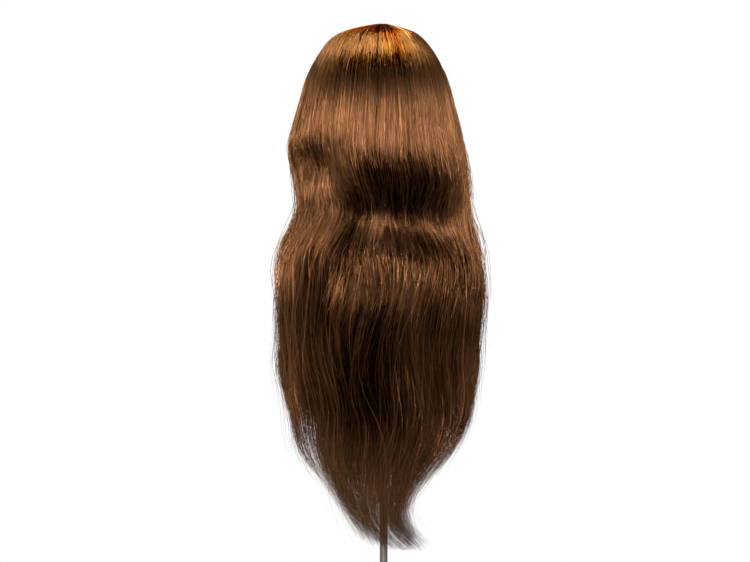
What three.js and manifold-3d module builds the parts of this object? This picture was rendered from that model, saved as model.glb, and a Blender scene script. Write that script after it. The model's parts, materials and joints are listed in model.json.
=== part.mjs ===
// A hairdresser's training head on a weighted table stand.
//
// Units are millimetres, +Z is up and the face looks along -Y. The origin is the middle of the stand's
// underside, on the axis of the rod. The stand is a round steel plate with a tube bolted to it; a thin rod
// slides in the tube and is pinched by a star knob. A swivelling yoke with a tilt joint tops the rod, and its
// tapered peg holds the head: a vinyl skin over rigid foam with a moulded socket in the neck. Long hair
// covers the scalp and hangs behind the neck and the rod.

import * as THREE from "three";
import { mergeVertices } from "three/addons/utils/BufferGeometryUtils.js";
import Module from "manifold-3d";

const wasm = await Module();
wasm.setup();

// ---------------------------------------------------------------- driving dimensions

const GAP = 0.3; // between pieces that touch
const RUNNING = 0.3; // round a shaft that turns or slides

const ROD_R = 4.75; // 3/8 in bar
const ROD_BOTTOM = 36;
const ROD_TOP = 500;

const BASE_R = 120;
const BASE_SIDES = 48;
const PAD_THICK = 2.5;
const PLATE_THICK = 12;
const TUBE_R = 8;
const TUBE_BORE_R = 6.4;
const TUBE_TOP = 158;
const COLLAR_R = 13;
const COLLAR_HEIGHT = 30;

const PIVOT_Z = 526; // tilt axis, parallel to X
const EAR_R = 13; // round end of the yoke's and the tongue's ears
const TONGUE_HALF = 6;
const WASHER_THICK = 1.2;
const EAR_THICK = 6;
const BOLT_R = 4;

const NECK_BASE_Z = 561;
const CHIN_Z = 620;
const SKIN_THICK = 4;
const EYE_R = 11.5;
const EYE_AT = [31.5, -84, CHIN_Z + 105]; // middle of the left eye; the right one mirrors it

const PEG_BOTTOM = 551;
const PEG_TOP = 612;
const PEG_BASE_R = 15;
const PEG_TIP_R = 12;
const SOCKET_WALL = 4;

const HAIR_TOP = 850;
const HAIR_TIP = 210;
const HAIR_CLEAR = 1; // between scalp and hair
const CAP_BOTTOM = 600; // hair above this tilts with the head
const FALL_TOP = 550; // hair below this hangs from gravity and stays with the yoke
const LOCK_SPLIT = 62; // side locks start this far from the middle

// ---------------------------------------------------------------- finishes

const finish = (color, roughness, metalness = 0) => new THREE.MeshStandardMaterial({ color, roughness, metalness });

const hairBrown = finish(0x5a3a24, 0.45);
const vinyl = finish(0xd9a487, 0.5);
const foam = finish(0xe6d9b0, 0.9);
const blackPlastic = finish(0x1c1c1e, 0.55);
const greyNylon = finish(0xb9b7ae, 0.6);
const blackSteel = finish(0x4a4640, 0.4, 0.8);
const platedSteel = finish(0xb4b6b8, 0.3, 1);
const plateCoat = finish(0x26262a, 0.6, 0.2);
const rubber = finish(0x151515, 0.9);
const fibre = finish(0x7a3b2a, 0.8);
const brass = finish(0xb08d4a, 0.35, 1);
const acrylic = finish(0xf2efe8, 0.08);

// ---------------------------------------------------------------- geometry helpers

const X = new THREE.Vector3(1, 0, 0);
const Y = new THREE.Vector3(0, 1, 0);
const Z = new THREE.Vector3(0, 0, 1);

function toSolid(geometry) {
  const bare = geometry.index ? geometry.toNonIndexed() : geometry.clone();
  bare.deleteAttribute("normal");
  bare.deleteAttribute("uv");
  const merged = mergeVertices(bare, 1e-3);
  return new wasm.Manifold(
    new wasm.Mesh({
      numProp: 3,
      vertProperties: new Float32Array(merged.attributes.position.array),
      triVerts: new Uint32Array(merged.index.array),
    }),
  );
}

function toGeometry(solid) {
  const mesh = solid.getMesh();
  const geometry = new THREE.BufferGeometry();
  geometry.setAttribute("position", new THREE.BufferAttribute(mesh.vertProperties, 3));
  geometry.setIndex(new THREE.BufferAttribute(mesh.triVerts, 1));
  return geometry;
}

// A cylinder or cone from a point along an axis.
function bar(from, axis, length, radius, { tip = radius, sides = 16 } = {}) {
  const geometry = new THREE.CylinderGeometry(tip, radius, length, sides);
  geometry.translate(0, length / 2, 0);
  geometry.applyQuaternion(new THREE.Quaternion().setFromUnitVectors(Y, axis));
  geometry.translate(from[0], from[1], from[2]);
  return toSolid(geometry);
}

// A solid of revolution about Z: its outline runs upwards on the outside, as [radius, height] pairs.
function turned(outline, sides = 24) {
  const points = outline.map(([r, z]) => new THREE.Vector2(r, z));
  const geometry = new THREE.LatheGeometry(points, sides);
  geometry.rotateX(Math.PI / 2);
  return toSolid(geometry);
}

function block([x0, y0, z0], [x1, y1, z1]) {
  const geometry = new THREE.BoxGeometry(x1 - x0, y1 - y0, z1 - z0);
  geometry.translate((x0 + x1) / 2, (y0 + y1) / 2, (z0 + z1) / 2);
  return toSolid(geometry);
}

// A plate in the YZ plane, from x0 to x1.
function sidePlate(shape, x0, x1) {
  const geometry = new THREE.ExtrudeGeometry(shape, { depth: x1 - x0, bevelEnabled: false, curveSegments: 10 });
  geometry.rotateX(Math.PI / 2);
  geometry.rotateZ(Math.PI / 2);
  geometry.translate(x0, 0, 0);
  return toSolid(geometry);
}

// A closed surface from rings of points, listed from the bottom up, with flat or pointed ends.
function lofted(rings) {
  const sides = rings[0].length;
  const positions = rings.flat().flat();
  const index = [];
  const middle = (ring) => ring.reduce((sum, p) => sum.map((s, k) => s + p[k] / sides), [0, 0, 0]);
  const bottom = rings.length * sides;
  positions.push(...middle(rings[0]), ...middle(rings[rings.length - 1]));
  for (let j = 0; j < sides; j++) {
    const next = (j + 1) % sides;
    index.push(bottom, next, j);
    const last = (rings.length - 1) * sides;
    index.push(bottom + 1, last + j, last + next);
    for (let i = 0; i + 1 < rings.length; i++) {
      const [a, b, c, d] = [i * sides + j, i * sides + next, (i + 1) * sides + next, (i + 1) * sides + j];
      index.push(a, b, c, a, c, d);
    }
  }
  const geometry = new THREE.BufferGeometry();
  geometry.setAttribute("position", new THREE.Float32BufferAttribute(positions, 3));
  geometry.setIndex(index);
  return toSolid(geometry);
}

// A smooth curve through [position, value] pairs, read at any position.
function curveThrough(pairs) {
  const curve = new THREE.SplineCurve(pairs.map(([at, value]) => new THREE.Vector2(at, value)));
  const samples = curve.getPoints(pairs.length * 12);
  return (at) => {
    const rising = samples[samples.length - 1].x > samples[0].x;
    const ordered = rising ? samples : [...samples].reverse();
    const i = ordered.findIndex((p) => p.x >= at);
    if (i < 0) return ordered[ordered.length - 1].y;
    if (i === 0) return ordered[0].y;
    const [a, b] = [ordered[i - 1], ordered[i]];
    return a.y + ((b.y - a.y) * (at - a.x)) / Math.max(b.x - a.x, 1e-9);
  };
}

// ---------------------------------------------------------------- the model's tree

const model = new THREE.Group();

function add(name, material, solid, group = model) {
  const mesh = new THREE.Mesh(toGeometry(solid), material);
  mesh.name = name;
  group.add(mesh);
  return mesh;
}

// ---------------------------------------------------------------- stand

const plateBottom = PAD_THICK + GAP;
const plateTop = plateBottom + PLATE_THICK;
const flangeBottom = plateTop + GAP;
const tubeBottom = flangeBottom + 3;
const plugTop = tubeBottom + 16;
const boltHead = { r: 6.5, height: 7 };

function baseBolt() {
  const head = bar([0, 0, plateBottom + 0.2], Z, boltHead.height, boltHead.r);
  const shank = bar([0, 0, plateBottom + boltHead.height], Z, plugTop - plateBottom - boltHead.height - 2, BOLT_R);
  const key = bar([0, 0, plateBottom - 1], Z, 5, 3.4, { sides: 6 });
  return head.add(shank).subtract(key);
}

function basePlate() {
  const rim = 3;
  const plate = turned([
    [0, plateBottom],
    [BASE_R - 1, plateBottom],
    [BASE_R, plateBottom + 1],
    [BASE_R, plateTop - rim],
    [BASE_R - 1, plateTop - 1],
    [BASE_R - rim, plateTop],
    [0, plateTop],
  ], BASE_SIDES);
  const recess = bar([0, 0, plateBottom - 1], Z, boltHead.height + 1.6, boltHead.r + 0.6);
  const hole = bar([0, 0, plateBottom], Z, PLATE_THICK + 1, BOLT_R + RUNNING);
  return plate.subtract(recess).subtract(hole);
}

function tubeFlange() {
  const sleeveR = TUBE_R + 3.5;
  const boss = turned([
    [0, flangeBottom],
    [26, flangeBottom],
    [26, flangeBottom + 4],
    [sleeveR + 2, flangeBottom + 7],
    [sleeveR, flangeBottom + 10],
    [sleeveR, flangeBottom + 28],
    [sleeveR - 1, flangeBottom + 29],
    [0, flangeBottom + 29],
  ]);
  const seat = bar([0, 0, tubeBottom - GAP], Z, 40, TUBE_R + GAP);
  const hole = bar([0, 0, flangeBottom - 1], Z, 10, BOLT_R + RUNNING);
  return boss.subtract(seat).subtract(hole);
}

add("base_pad", rubber, bar([0, 0, 0], Z, PAD_THICK, BASE_R - 3, { sides: BASE_SIDES }));
add("base_plate", plateCoat, basePlate());
add("base_bolt", platedSteel, baseBolt());
add("tube_flange", blackPlastic, tubeFlange());
add(
  "tube_end_plug",
  platedSteel,
  bar([0, 0, tubeBottom], Z, plugTop - tubeBottom, TUBE_BORE_R - GAP).subtract(
    bar([0, 0, tubeBottom - 1], Z, plugTop - tubeBottom + 2, BOLT_R + RUNNING),
  ),
);
add(
  "lower_tube",
  platedSteel,
  bar([0, 0, tubeBottom], Z, TUBE_TOP - tubeBottom, TUBE_R).subtract(
    bar([0, 0, tubeBottom - 1], Z, TUBE_TOP, TUBE_BORE_R),
  ),
);

// The collar grips the tube's end; its boss carries the clamping screw towards the face side.
const collarBottom = TUBE_TOP - 16;
const collarTop = collarBottom + COLLAR_HEIGHT;
const knobZ = TUBE_TOP + 7;
const bossEnd = -22;
const studR = 3;

function clampCollar() {
  const ring = turned([
    [0, collarBottom],
    [COLLAR_R - 1, collarBottom],
    [COLLAR_R, collarBottom + 1],
    [COLLAR_R, collarTop - 2],
    [COLLAR_R - 2, collarTop],
    [0, collarTop],
  ]);
  const boss = bar([0, 0, knobZ], Y.clone().negate(), -bossEnd, 6.2);
  const tubeSeat = bar([0, 0, collarBottom - 1], Z, TUBE_TOP + GAP - collarBottom + 1, TUBE_R + GAP);
  const bushSeat = bar([0, 0, TUBE_TOP], Z, 40, TUBE_R);
  const screwHole = bar([0, 0, knobZ], Y.clone().negate(), 30, studR + GAP);
  return ring.add(boss).subtract(tubeSeat).subtract(bushSeat).subtract(screwHole);
}

const bushBottom = TUBE_TOP + 2 * GAP;
const padHole = bar([0, 0, knobZ], Y.clone().negate(), 12, 2.6);
add("clamp_collar", blackPlastic, clampCollar());
add(
  "guide_bush",
  greyNylon,
  bar([0, 0, bushBottom], Z, collarTop - bushBottom - 0.5, TUBE_R - GAP)
    .subtract(bar([0, 0, TUBE_TOP - 10], Z, 60, ROD_R + RUNNING))
    .subtract(padHole),
);
add("pressure_pad", brass, bar([0, -ROD_R - 0.4, knobZ], Y.clone().negate(), 2.4, 2.2));

// ---------------------------------------------------------------- height knob, which turns on its own axis

const stud = bar([0, -TUBE_R, knobZ], Y.clone().negate(), 24, studR);
const knobStart = bossEnd - 1;

function starKnob() {
  const lobes = 5;
  const shape = new THREE.Shape();
  const around = 30;
  for (let i = 0; i < around; i++) {
    const turn = (i / around) * 2 * Math.PI;
    const r = 14.5 + 2.5 * Math.cos(lobes * turn);
    shape[i ? "lineTo" : "moveTo"](r * Math.cos(turn), r * Math.sin(turn));
  }
  const geometry = new THREE.ExtrudeGeometry(shape, {
    depth: 9,
    bevelThickness: 1.5,
    bevelSize: 1.5,
    bevelOffset: -1.5,
    bevelSegments: 1,
  });
  geometry.rotateX(Math.PI / 2);
  geometry.translate(0, knobStart - 3.5, knobZ);
  const hub = bar([0, knobStart, knobZ], Y.clone().negate(), 8, 7);
  const hole = bar([0, knobStart + 1, knobZ], Y.clone().negate(), 11, studR + GAP);
  return toSolid(geometry).add(hub).subtract(hole);
}

add("knob_stud", platedSteel, stud);
add("height_knob", blackPlastic, starKnob());

// ---------------------------------------------------------------- sliding rod

const stopCollarTop = 470;
const stopCollar = { r: 9, height: 9 };
const grooveZ = 487;
const rodFootHeight = 16;
const rodFootBottom = plugTop + GAP;

function rod() {
  const groove = turned([
    [ROD_R - 1.2, grooveZ - 2.2],
    [ROD_R + 1, grooveZ - 2.2],
    [ROD_R + 1, grooveZ + 2.2],
    [ROD_R - 1.2, grooveZ + 2.2],
    [ROD_R - 1.2, grooveZ - 2.2],
  ]);
  return bar([0, 0, ROD_BOTTOM], Z, ROD_TOP - ROD_BOTTOM, ROD_R).subtract(groove);
}

function stopCollarRing() {
  const ring = bar([0, 0, stopCollarTop - stopCollar.height], Z, stopCollar.height, stopCollar.r);
  const bore = bar([0, 0, 0], Z, 600, ROD_R + 0.2);
  const screwHole = bar([0, 0, stopCollarTop - stopCollar.height / 2], Y.clone().negate(), 12, 2.3);
  return ring.subtract(bore).subtract(screwHole);
}

add("rod", blackSteel, rod());
add(
  "rod_foot",
  greyNylon,
  bar([0, 0, rodFootBottom], Z, rodFootHeight, TUBE_BORE_R - RUNNING).subtract(
    bar([0, 0, ROD_BOTTOM - 0.2], Z, 30, ROD_R + 0.2),
  ),
);
add("stop_collar", blackSteel, stopCollarRing());
add(
  "stop_collar_screw",
  platedSteel,
  bar([0, -ROD_R - 0.3, stopCollarTop - stopCollar.height / 2], Y.clone().negate(), 4, 2, { sides: 12 }),
);
add(
  "swivel_washer",
  greyNylon,
  bar([0, 0, stopCollarTop + GAP / 2], Z, 1.5, stopCollar.r).subtract(bar([0, 0, 400], Z, 100, ROD_R + 0.2)),
);

// ---------------------------------------------------------------- yoke, which swivels on the rod

const sleeveBottom = stopCollarTop + 2;
const sleeveTop = 506;
const earInner = TONGUE_HALF + WASHER_THICK + 2 * GAP;
const earOuter = earInner + EAR_THICK;

function yoke() {
  const sleeve = turned([
    [0, sleeveBottom],
    [9.5, sleeveBottom],
    [10.5, sleeveBottom + 1],
    [10.5, sleeveTop - 6],
    [earOuter, sleeveTop],
    [earOuter, sleeveTop + 3],
    [0, sleeveTop + 3],
  ]);
  const ear = new THREE.Shape();
  ear.moveTo(-EAR_R, sleeveTop);
  ear.lineTo(EAR_R, sleeveTop);
  ear.lineTo(EAR_R, PIVOT_Z);
  ear.absarc(0, PIVOT_Z, EAR_R, 0, Math.PI, false);
  const ears = sidePlate(ear, -earOuter, -earInner).add(sidePlate(ear, earInner, earOuter));
  const bore = bar([0, 0, sleeveBottom - 1], Z, ROD_TOP + 0.5 - sleeveBottom + 1, ROD_R + RUNNING);
  const boltHole = bar([-earOuter - 1, 0, PIVOT_Z], X, 2 * earOuter + 2, BOLT_R + 0.2);
  const grubHole = bar([0, 0, grooveZ], Y.clone().negate(), 15, 2.3);
  return sleeve.add(ears).subtract(bore).subtract(boltHole).subtract(grubHole);
}

// Ring on the tilt axis, from x along +X.
const tiltRing = (x, thick, r) =>
  bar([x, 0, PIVOT_Z], X, thick, r).subtract(bar([x - 1, 0, PIVOT_Z], X, thick + 2, BOLT_R + 0.2));

add("tilt_yoke", blackPlastic, yoke());
add("yoke_grub_screw", platedSteel, bar([0, -3.9, grooveZ], Y.clone().negate(), 5.5, 2, { sides: 12 }));
add("friction_washer_left", fibre, tiltRing(TONGUE_HALF + GAP, WASHER_THICK, 10.5));
add("friction_washer_right", fibre, tiltRing(-TONGUE_HALF - GAP - WASHER_THICK, WASHER_THICK, 10.5));

const headThick = 5.5;
const boltEnd = earOuter + 13;
const boltStart = -earOuter - GAP;
add(
  "tilt_bolt",
  platedSteel,
  bar([boltStart, 0, PIVOT_Z], X, boltEnd - boltStart, BOLT_R).add(
    bar([boltStart - headThick, 0, PIVOT_Z], X, headThick + 0.01, 7.5, { sides: 6 }),
  ),
);
add("tilt_washer", platedSteel, tiltRing(earOuter + GAP, 1.4, 8.5));

// ---------------------------------------------------------------- tilt lever, which clamps the joint

const leverX = earOuter + GAP + 1.4 + GAP;
const leverHub = { r: 8.5, length: 13 };
const leverArm = new THREE.Vector3(0.15, -0.8, -0.58).normalize();
const leverLength = 46;

function tiltLever() {
  const hub = bar([leverX, 0, PIVOT_Z], X, leverHub.length, leverHub.r, { tip: leverHub.r - 1.5 });
  const start = [leverX + leverHub.length / 2, 0, PIVOT_Z];
  const arm = bar(start, leverArm, leverLength, 4.2, { tip: 3 });
  const hole = bar([leverX - 1, 0, PIVOT_Z], X, boltEnd - leverX + 1.5, BOLT_R + GAP);
  return hub.add(arm).subtract(hole);
}

const gripStart = leverArm.clone().multiplyScalar(leverLength + GAP).add(
  new THREE.Vector3(leverX + leverHub.length / 2, 0, PIVOT_Z),
);
add("tilt_lever", blackPlastic, tiltLever());
add("lever_grip", rubber, bar(gripStart.toArray(), leverArm, 15, 4, { tip: 5.2 }));

// ---------------------------------------------------------------- tongue and peg, which tilt with the head

const discBottom = PIVOT_Z + EAR_R + 4;
const discTop = PEG_BOTTOM - GAP;
const discR = 21;
const pegScrewR = 2.5;

function tongue() {
  const ear = new THREE.Shape();
  ear.moveTo(EAR_R - 1, discBottom + 2);
  ear.lineTo(-EAR_R + 1, discBottom + 2);
  ear.lineTo(-EAR_R + 1, PIVOT_Z);
  ear.absarc(0, PIVOT_Z, EAR_R - 1, Math.PI, 2 * Math.PI, false);
  const disc = turned([
    [0, discBottom],
    [discR - 1.5, discBottom],
    [discR, discBottom + 1.5],
    [discR, discTop - 1],
    [discR - 1, discTop],
    [0, discTop],
  ]);
  const boltHole = bar([-20, 0, PIVOT_Z], X, 40, BOLT_R + RUNNING);
  const screwHole = bar([0, 0, PIVOT_Z + 9], Z, 40, pegScrewR + GAP);
  return sidePlate(ear, -TONGUE_HALF, TONGUE_HALF).add(disc).subtract(boltHole).subtract(screwHole);
}

const pegScrewHead = { r: 5, height: 4 };

function peg() {
  const cone = turned([
    [0, PEG_BOTTOM],
    [PEG_BASE_R, PEG_BOTTOM],
    [PEG_TIP_R, PEG_TOP - 2],
    [PEG_TIP_R - 2, PEG_TOP],
    [0, PEG_TOP],
  ]);
  const recess = bar([0, 0, PEG_TOP - 12], Z, 20, pegScrewHead.r + 0.6);
  const hole = bar([0, 0, PEG_BOTTOM - 1], Z, 80, pegScrewR + GAP);
  return cone.subtract(recess).subtract(hole);
}

function pegScrew() {
  const headBottom = PEG_TOP - 12 + GAP;
  const head = bar([0, 0, headBottom], Z, pegScrewHead.height, pegScrewHead.r);
  const shankBottom = PIVOT_Z + 10;
  const shank = bar([0, 0, shankBottom], Z, headBottom - shankBottom + 1, pegScrewR);
  const key = bar([0, 0, headBottom + 1.5], Z, 5, 2.6, { sides: 6 });
  return head.add(shank).subtract(key);
}

add("tilt_tongue", blackPlastic, tongue());
add("peg", blackPlastic, peg());
add("peg_screw", platedSteel, pegScrew());

// ---------------------------------------------------------------- head form

// The head is a smooth union of plain masses. Heights are above the chin; x is mirrored for pairs.
const ball = (at, radii, blend, more = {}) => ({ at, radii, blend, ...more });
const limb = (from, to, r1, r2, blend, more = {}) => ({ from, to, r1, r2, blend, ...more });
const carve = { carve: true };
const pair = { pair: true };

const MASSES = [
  ball([0, -4, 135], [75, 91, 80], 1), // cranium
  limb([0, 5, -90], [0, 8, 62], 51, 49, 22), // neck
  ball([0, 5, -66], [57, 57, 22], 14), // flare at the neck's base
  ball([0, -42, 116], [58, 61, 52], 18), // forehead
  ball([0, -38, 62], [53, 55, 62], 20), // face
  ball([33, -30, 40], [21, 34, 24], 18, pair), // jaw
  ball([0, -77, 15], [20, 18, 15], 16), // chin
  ball([43, -64, 84], [19, 24, 17], 18, pair), // cheekbone
  ball([32, -108, 104], [17, 14, 11], 12, { ...pair, ...carve }), // eye socket
  limb([12, -95, 120], [44, -84, 121], 6, 5, 12, pair), // brow
  ball([31.5, -84, 105], [14, 13.5, 12.5], 4, pair), // lids over the eye
  limb([0, -96, 108], [0, -111, 74], 6.5, 8, 9), // nose bridge
  ball([0, -112, 70], [9.5, 10, 8.5], 7), // nose tip
  ball([11, -101, 66], [6.5, 10, 7], 6, pair), // nostril wings
  ball([0, -90, 45.5], [24, 8, 5.5], 6), // upper lip
  ball([0, -89, 36], [20, 9, 6.5], 6), // lower lip
  ball([76, 6, 92], [5, 17, 31], 5, pair), // ear
];

const blended = (a, b, k) => {
  const h = Math.max(k - Math.abs(a - b), 0) / k;
  return Math.min(a, b) - (h * h * k) / 4;
};

// Distance, roughly, from a point to one mass.
function toMass(mass, x, y, z) {
  if (mass.radii) {
    const [dx, dy, dz] = [x - mass.at[0], y - mass.at[1], z - mass.at[2]];
    const [rx, ry, rz] = mass.radii;
    const near = Math.hypot(dx / rx, dy / ry, dz / rz);
    const slope = Math.hypot(dx / rx ** 2, dy / ry ** 2, dz / rz ** 2);
    return (near * (near - 1)) / Math.max(slope, 1e-6);
  }
  const [a, b] = [mass.from, mass.to];
  const along = b.map((v, k) => v - a[k]);
  const lengthSquared = along.reduce((sum, v) => sum + v * v, 0);
  const t = ((x - a[0]) * along[0] + (y - a[1]) * along[1] + (z - a[2]) * along[2]) / lengthSquared;
  const s = Math.min(1, Math.max(0, t));
  const off = Math.hypot(x - a[0] - s * along[0], y - a[1] - s * along[1], z - a[2] - s * along[2]);
  return off - (mass.r1 + s * (mass.r2 - mass.r1));
}

function toHead(x, y, z) {
  let d = Infinity;
  for (const mass of MASSES) {
    const one = toMass(mass, mass.pair ? Math.abs(x) : x, y, z - CHIN_Z);
    if (d === Infinity) d = one;
    else d = mass.carve ? -blended(-d, one, mass.blend) : blended(d, one, mass.blend);
  }
  return d;
}

// Surface point of the head, grown by an offset, along a ray.
function onHead(origin, direction, offset) {
  const at = (r) => toHead(...origin.map((o, k) => o + direction[k] * r)) - offset;
  let outside = 170;
  while (outside > 4 && at(outside) > 0) outside -= 4;
  let [inside, beyond] = [outside, outside + 4];
  for (let i = 0; i < 14; i++) {
    const mid = (inside + beyond) / 2;
    if (at(mid) > 0) beyond = mid;
    else inside = mid;
  }
  return origin.map((o, k) => o + direction[k] * inside);
}

// How finely the head is sampled: rings up the neck and face, rings over the crown, points round each.
const outerGrid = [17, 6, 36];
const innerGrid = [11, 6, 20];

// Rings go up the neck and face, then fan over the crown from the middle of the skull.
function headForm(offset, bottom, [ringsBelow, ringsAbove, sides]) {
  const skullZ = CHIN_Z + 120;
  const rings = [];
  const ringAt = (z, lift) => {
    const ring = [];
    for (let j = 0; j < sides; j++) {
      const turn = (j / sides) * 2 * Math.PI;
      const direction = [Math.cos(turn) * Math.cos(lift), Math.sin(turn) * Math.cos(lift), Math.sin(lift)];
      ring.push(onHead([0, -6, z], direction, offset));
    }
    return ring;
  };
  for (let i = 0; i < ringsBelow; i++) {
    const ring = ringAt(bottom + ((skullZ - bottom) * i) / ringsBelow, 0);
    rings.push(ring);
  }
  for (let i = 0; i < ringsAbove; i++) rings.push(ringAt(skullZ, (i / ringsAbove) * (Math.PI / 2)));
  return lofted(rings);
}

// ---------------------------------------------------------------- head pieces

const socketTop = PEG_TOP + 8;
const socketFlangeR = 30;
const pegSlope = (PEG_BASE_R - PEG_TIP_R) / (PEG_TOP - PEG_BOTTOM);

// Radius of the socket's bore, which follows the peg's taper.
const boreAt = (z) => PEG_BASE_R + GAP - pegSlope * (z - PEG_BOTTOM);

function neckSocket() {
  const outside = turned([
    [0, NECK_BASE_Z - 3],
    [socketFlangeR - 1, NECK_BASE_Z - 3],
    [socketFlangeR, NECK_BASE_Z - 2],
    [socketFlangeR, NECK_BASE_Z],
    [boreAt(NECK_BASE_Z) + SOCKET_WALL, NECK_BASE_Z],
    [boreAt(socketTop) + SOCKET_WALL, socketTop + 3],
    [0, socketTop + 3],
  ]);
  const bore = turned([
    [0, PEG_BOTTOM - 5],
    [boreAt(PEG_BOTTOM - 5), PEG_BOTTOM - 5],
    [boreAt(socketTop), socketTop],
    [0, socketTop],
  ]);
  return outside.subtract(bore);
}

const plateR = 46;
const neckPlateTop = NECK_BASE_Z + 3;
const screwCircle = 38;
const screwTurns = [90, 210, 330];

function neckPlate() {
  let plate = bar([0, 4, NECK_BASE_Z + GAP / 2], Z, neckPlateTop - NECK_BASE_Z, plateR, { sides: 24 });
  const socketR = boreAt(NECK_BASE_Z) + SOCKET_WALL + GAP;
  plate = plate.subtract(bar([0, 0, 500], Z, 100, socketR, { sides: 24 }));
  for (const turn of screwTurns) plate = plate.subtract(bar(screwAt(turn, 500), Z, 100, 2));
  return plate;
}

function screwAt(turn, z) {
  const angle = THREE.MathUtils.degToRad(turn);
  return [screwCircle * Math.cos(angle), 4 + screwCircle * Math.sin(angle), z];
}

function plateScrew(turn) {
  const head = bar(screwAt(turn, NECK_BASE_Z - 2), Z, 2, 3.6, { tip: 3.2 });
  const shank = bar(screwAt(turn, NECK_BASE_Z - 1), Z, 15, 1.6, { tip: 1, sides: 12 });
  return head.add(shank);
}

const eyeBall = (side, r) => {
  const geometry = new THREE.SphereGeometry(r, 12, 8);
  geometry.translate(side * EYE_AT[0], EYE_AT[1], EYE_AT[2]);
  return toSolid(geometry);
};

// The almond between the lids, cut straight through from the front.
function lidOpening(side) {
  const almond = new THREE.Shape();
  const [inner, outer, upper, lower] = [-13, 13.5, 10, -7];
  almond.moveTo(inner, -1);
  almond.quadraticCurveTo(-1, lower, outer, 1);
  almond.quadraticCurveTo(0, upper, inner, -1);
  const geometry = new THREE.ExtrudeGeometry(almond, { depth: 30, bevelEnabled: false, curveSegments: 6 });
  geometry.rotateX(Math.PI / 2);
  const opening = toSolid(geometry).translate([EYE_AT[0], EYE_AT[1] - 3, EYE_AT[2]]);
  return side > 0 ? opening : opening.mirror([1, 0, 0]);
}

function headSkin() {
  const outside = headForm(0, NECK_BASE_Z, outerGrid);
  const inside = headForm(-SKIN_THICK, NECK_BASE_Z - 10, innerGrid);
  let skin = outside.subtract(inside);
  for (const side of [1, -1]) skin = skin.subtract(eyeBall(side, EYE_R + GAP)).subtract(lidOpening(side));
  return skin;
}

function foamCore() {
  const form = headForm(-SKIN_THICK - 2 * GAP, NECK_BASE_Z - 10, innerGrid);
  const coreBottom = neckPlateTop + 2 * GAP;
  let core = form.subtract(block([-200, -200, 0], [200, 200, coreBottom]));
  const sleeveR = boreAt(NECK_BASE_Z) + SOCKET_WALL + 2 * GAP;
  const sleeve = turned([
    [0, NECK_BASE_Z - 10],
    [sleeveR, NECK_BASE_Z - 10],
    [sleeveR, NECK_BASE_Z],
    [boreAt(socketTop) + SOCKET_WALL + 2 * GAP, socketTop + 3 + GAP],
    [0, socketTop + 3 + GAP],
  ]);
  core = core.subtract(sleeve);
  for (const turn of screwTurns) core = core.subtract(bar(screwAt(turn, 540), Z, 38, 2, { sides: 12 }));
  for (const side of [1, -1]) core = core.subtract(eyeBall(side, EYE_R + GAP));
  return core;
}

add("head_skin", vinyl, headSkin());
add("foam_core", foam, foamCore());
add("eye_left", acrylic, eyeBall(1, EYE_R));
add("eye_right", acrylic, eyeBall(-1, EYE_R));
add("neck_socket", greyNylon, neckSocket());
add("neck_plate", blackPlastic, neckPlate());
screwTurns.forEach((turn, i) => add(`neck_plate_screw_${i + 1}`, platedSteel, plateScrew(turn)));

// ---------------------------------------------------------------- hair

// How far the whole mass of hair reaches at each height: left (+X), right (-X), back (+Y) and front (-Y).
const hairLeft = curveThrough([
  [HAIR_TIP, 6], [245, 42], [290, 74], [325, 103], [380, 111], [432, 124], [520, 129], [565, 126],
  [625, 104], [690, 112], [749, 101], [792, 88], [825, 69], [842, 42], [HAIR_TOP, 12],
]);
const hairRight = curveThrough([
  [HAIR_TIP, 48], [255, 41], [290, 56], [335, 90], [400, 107], [490, 124], [580, 115], [625, 109],
  [690, 96], [749, 84], [792, 72], [825, 53], [842, 30], [HAIR_TOP, 4],
]);
const hairBack = curveThrough([
  [HAIR_TIP, 28], [260, 44], [330, 64], [430, 84], [500, 100], [550, 107], [600, 100], [640, 90],
  [680, 97], [725, 108], [768, 105], [798, 88], [824, 58], [842, 26], [HAIR_TOP, 4],
]);
const hairFront = curveThrough([
  [HAIR_TIP, 8], [290, 0], [375, -22], [460, -42], [562, -56], [640, -66], [700, -82],
  [760, -100], [804, -92], [826, -68], [842, -38], [HAIR_TOP, -8],
]);

function hairMass() {
  const sides = 32;
  const steps = 22;
  const bulge = 0.85; // below 1, the section is squarer than an ellipse
  const square = (v) => Math.sign(v) * Math.abs(v) ** bulge;
  const rings = [];
  for (let i = 0; i <= steps; i++) {
    const rise = 1 - (1 - i / steps) ** 1.35; // rings crowd towards the top
    const z = HAIR_TIP + (HAIR_TOP - HAIR_TIP) * rise;
    const [left, right, back, front] = [hairLeft, hairRight, hairBack, hairFront].map((read) => read(z));
    const [midX, midY] = [(left - right) / 2, (back + front) / 2];
    const [halfX, halfY] = [(left + right) / 2, (back - front) / 2];
    const ring = [];
    for (let j = 0; j < sides; j++) {
      const turn = (j / sides) * 2 * Math.PI;
      ring.push([midX + halfX * square(Math.cos(turn)), midY + halfY * square(Math.sin(turn)), z]);
    }
    rings.push(ring);
  }
  return lofted(rings);
}

// The face and throat stay open: an arched window from the hairline down.
function faceWindow() {
  const arch = new THREE.Shape();
  const [half, hairline, sill] = [LOCK_SPLIT, 798, 500];
  arch.moveTo(-half, sill);
  arch.lineTo(half, sill);
  arch.lineTo(half, hairline - 75);
  arch.bezierCurveTo(half, hairline - 20, half * 0.5, hairline, 0, hairline);
  arch.bezierCurveTo(-half * 0.5, hairline, -half, hairline - 20, -half, hairline - 75);
  const geometry = new THREE.ExtrudeGeometry(arch, { depth: 160, bevelEnabled: false, curveSegments: 8 });
  geometry.rotateX(Math.PI / 2);
  return toSolid(geometry);
}

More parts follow.
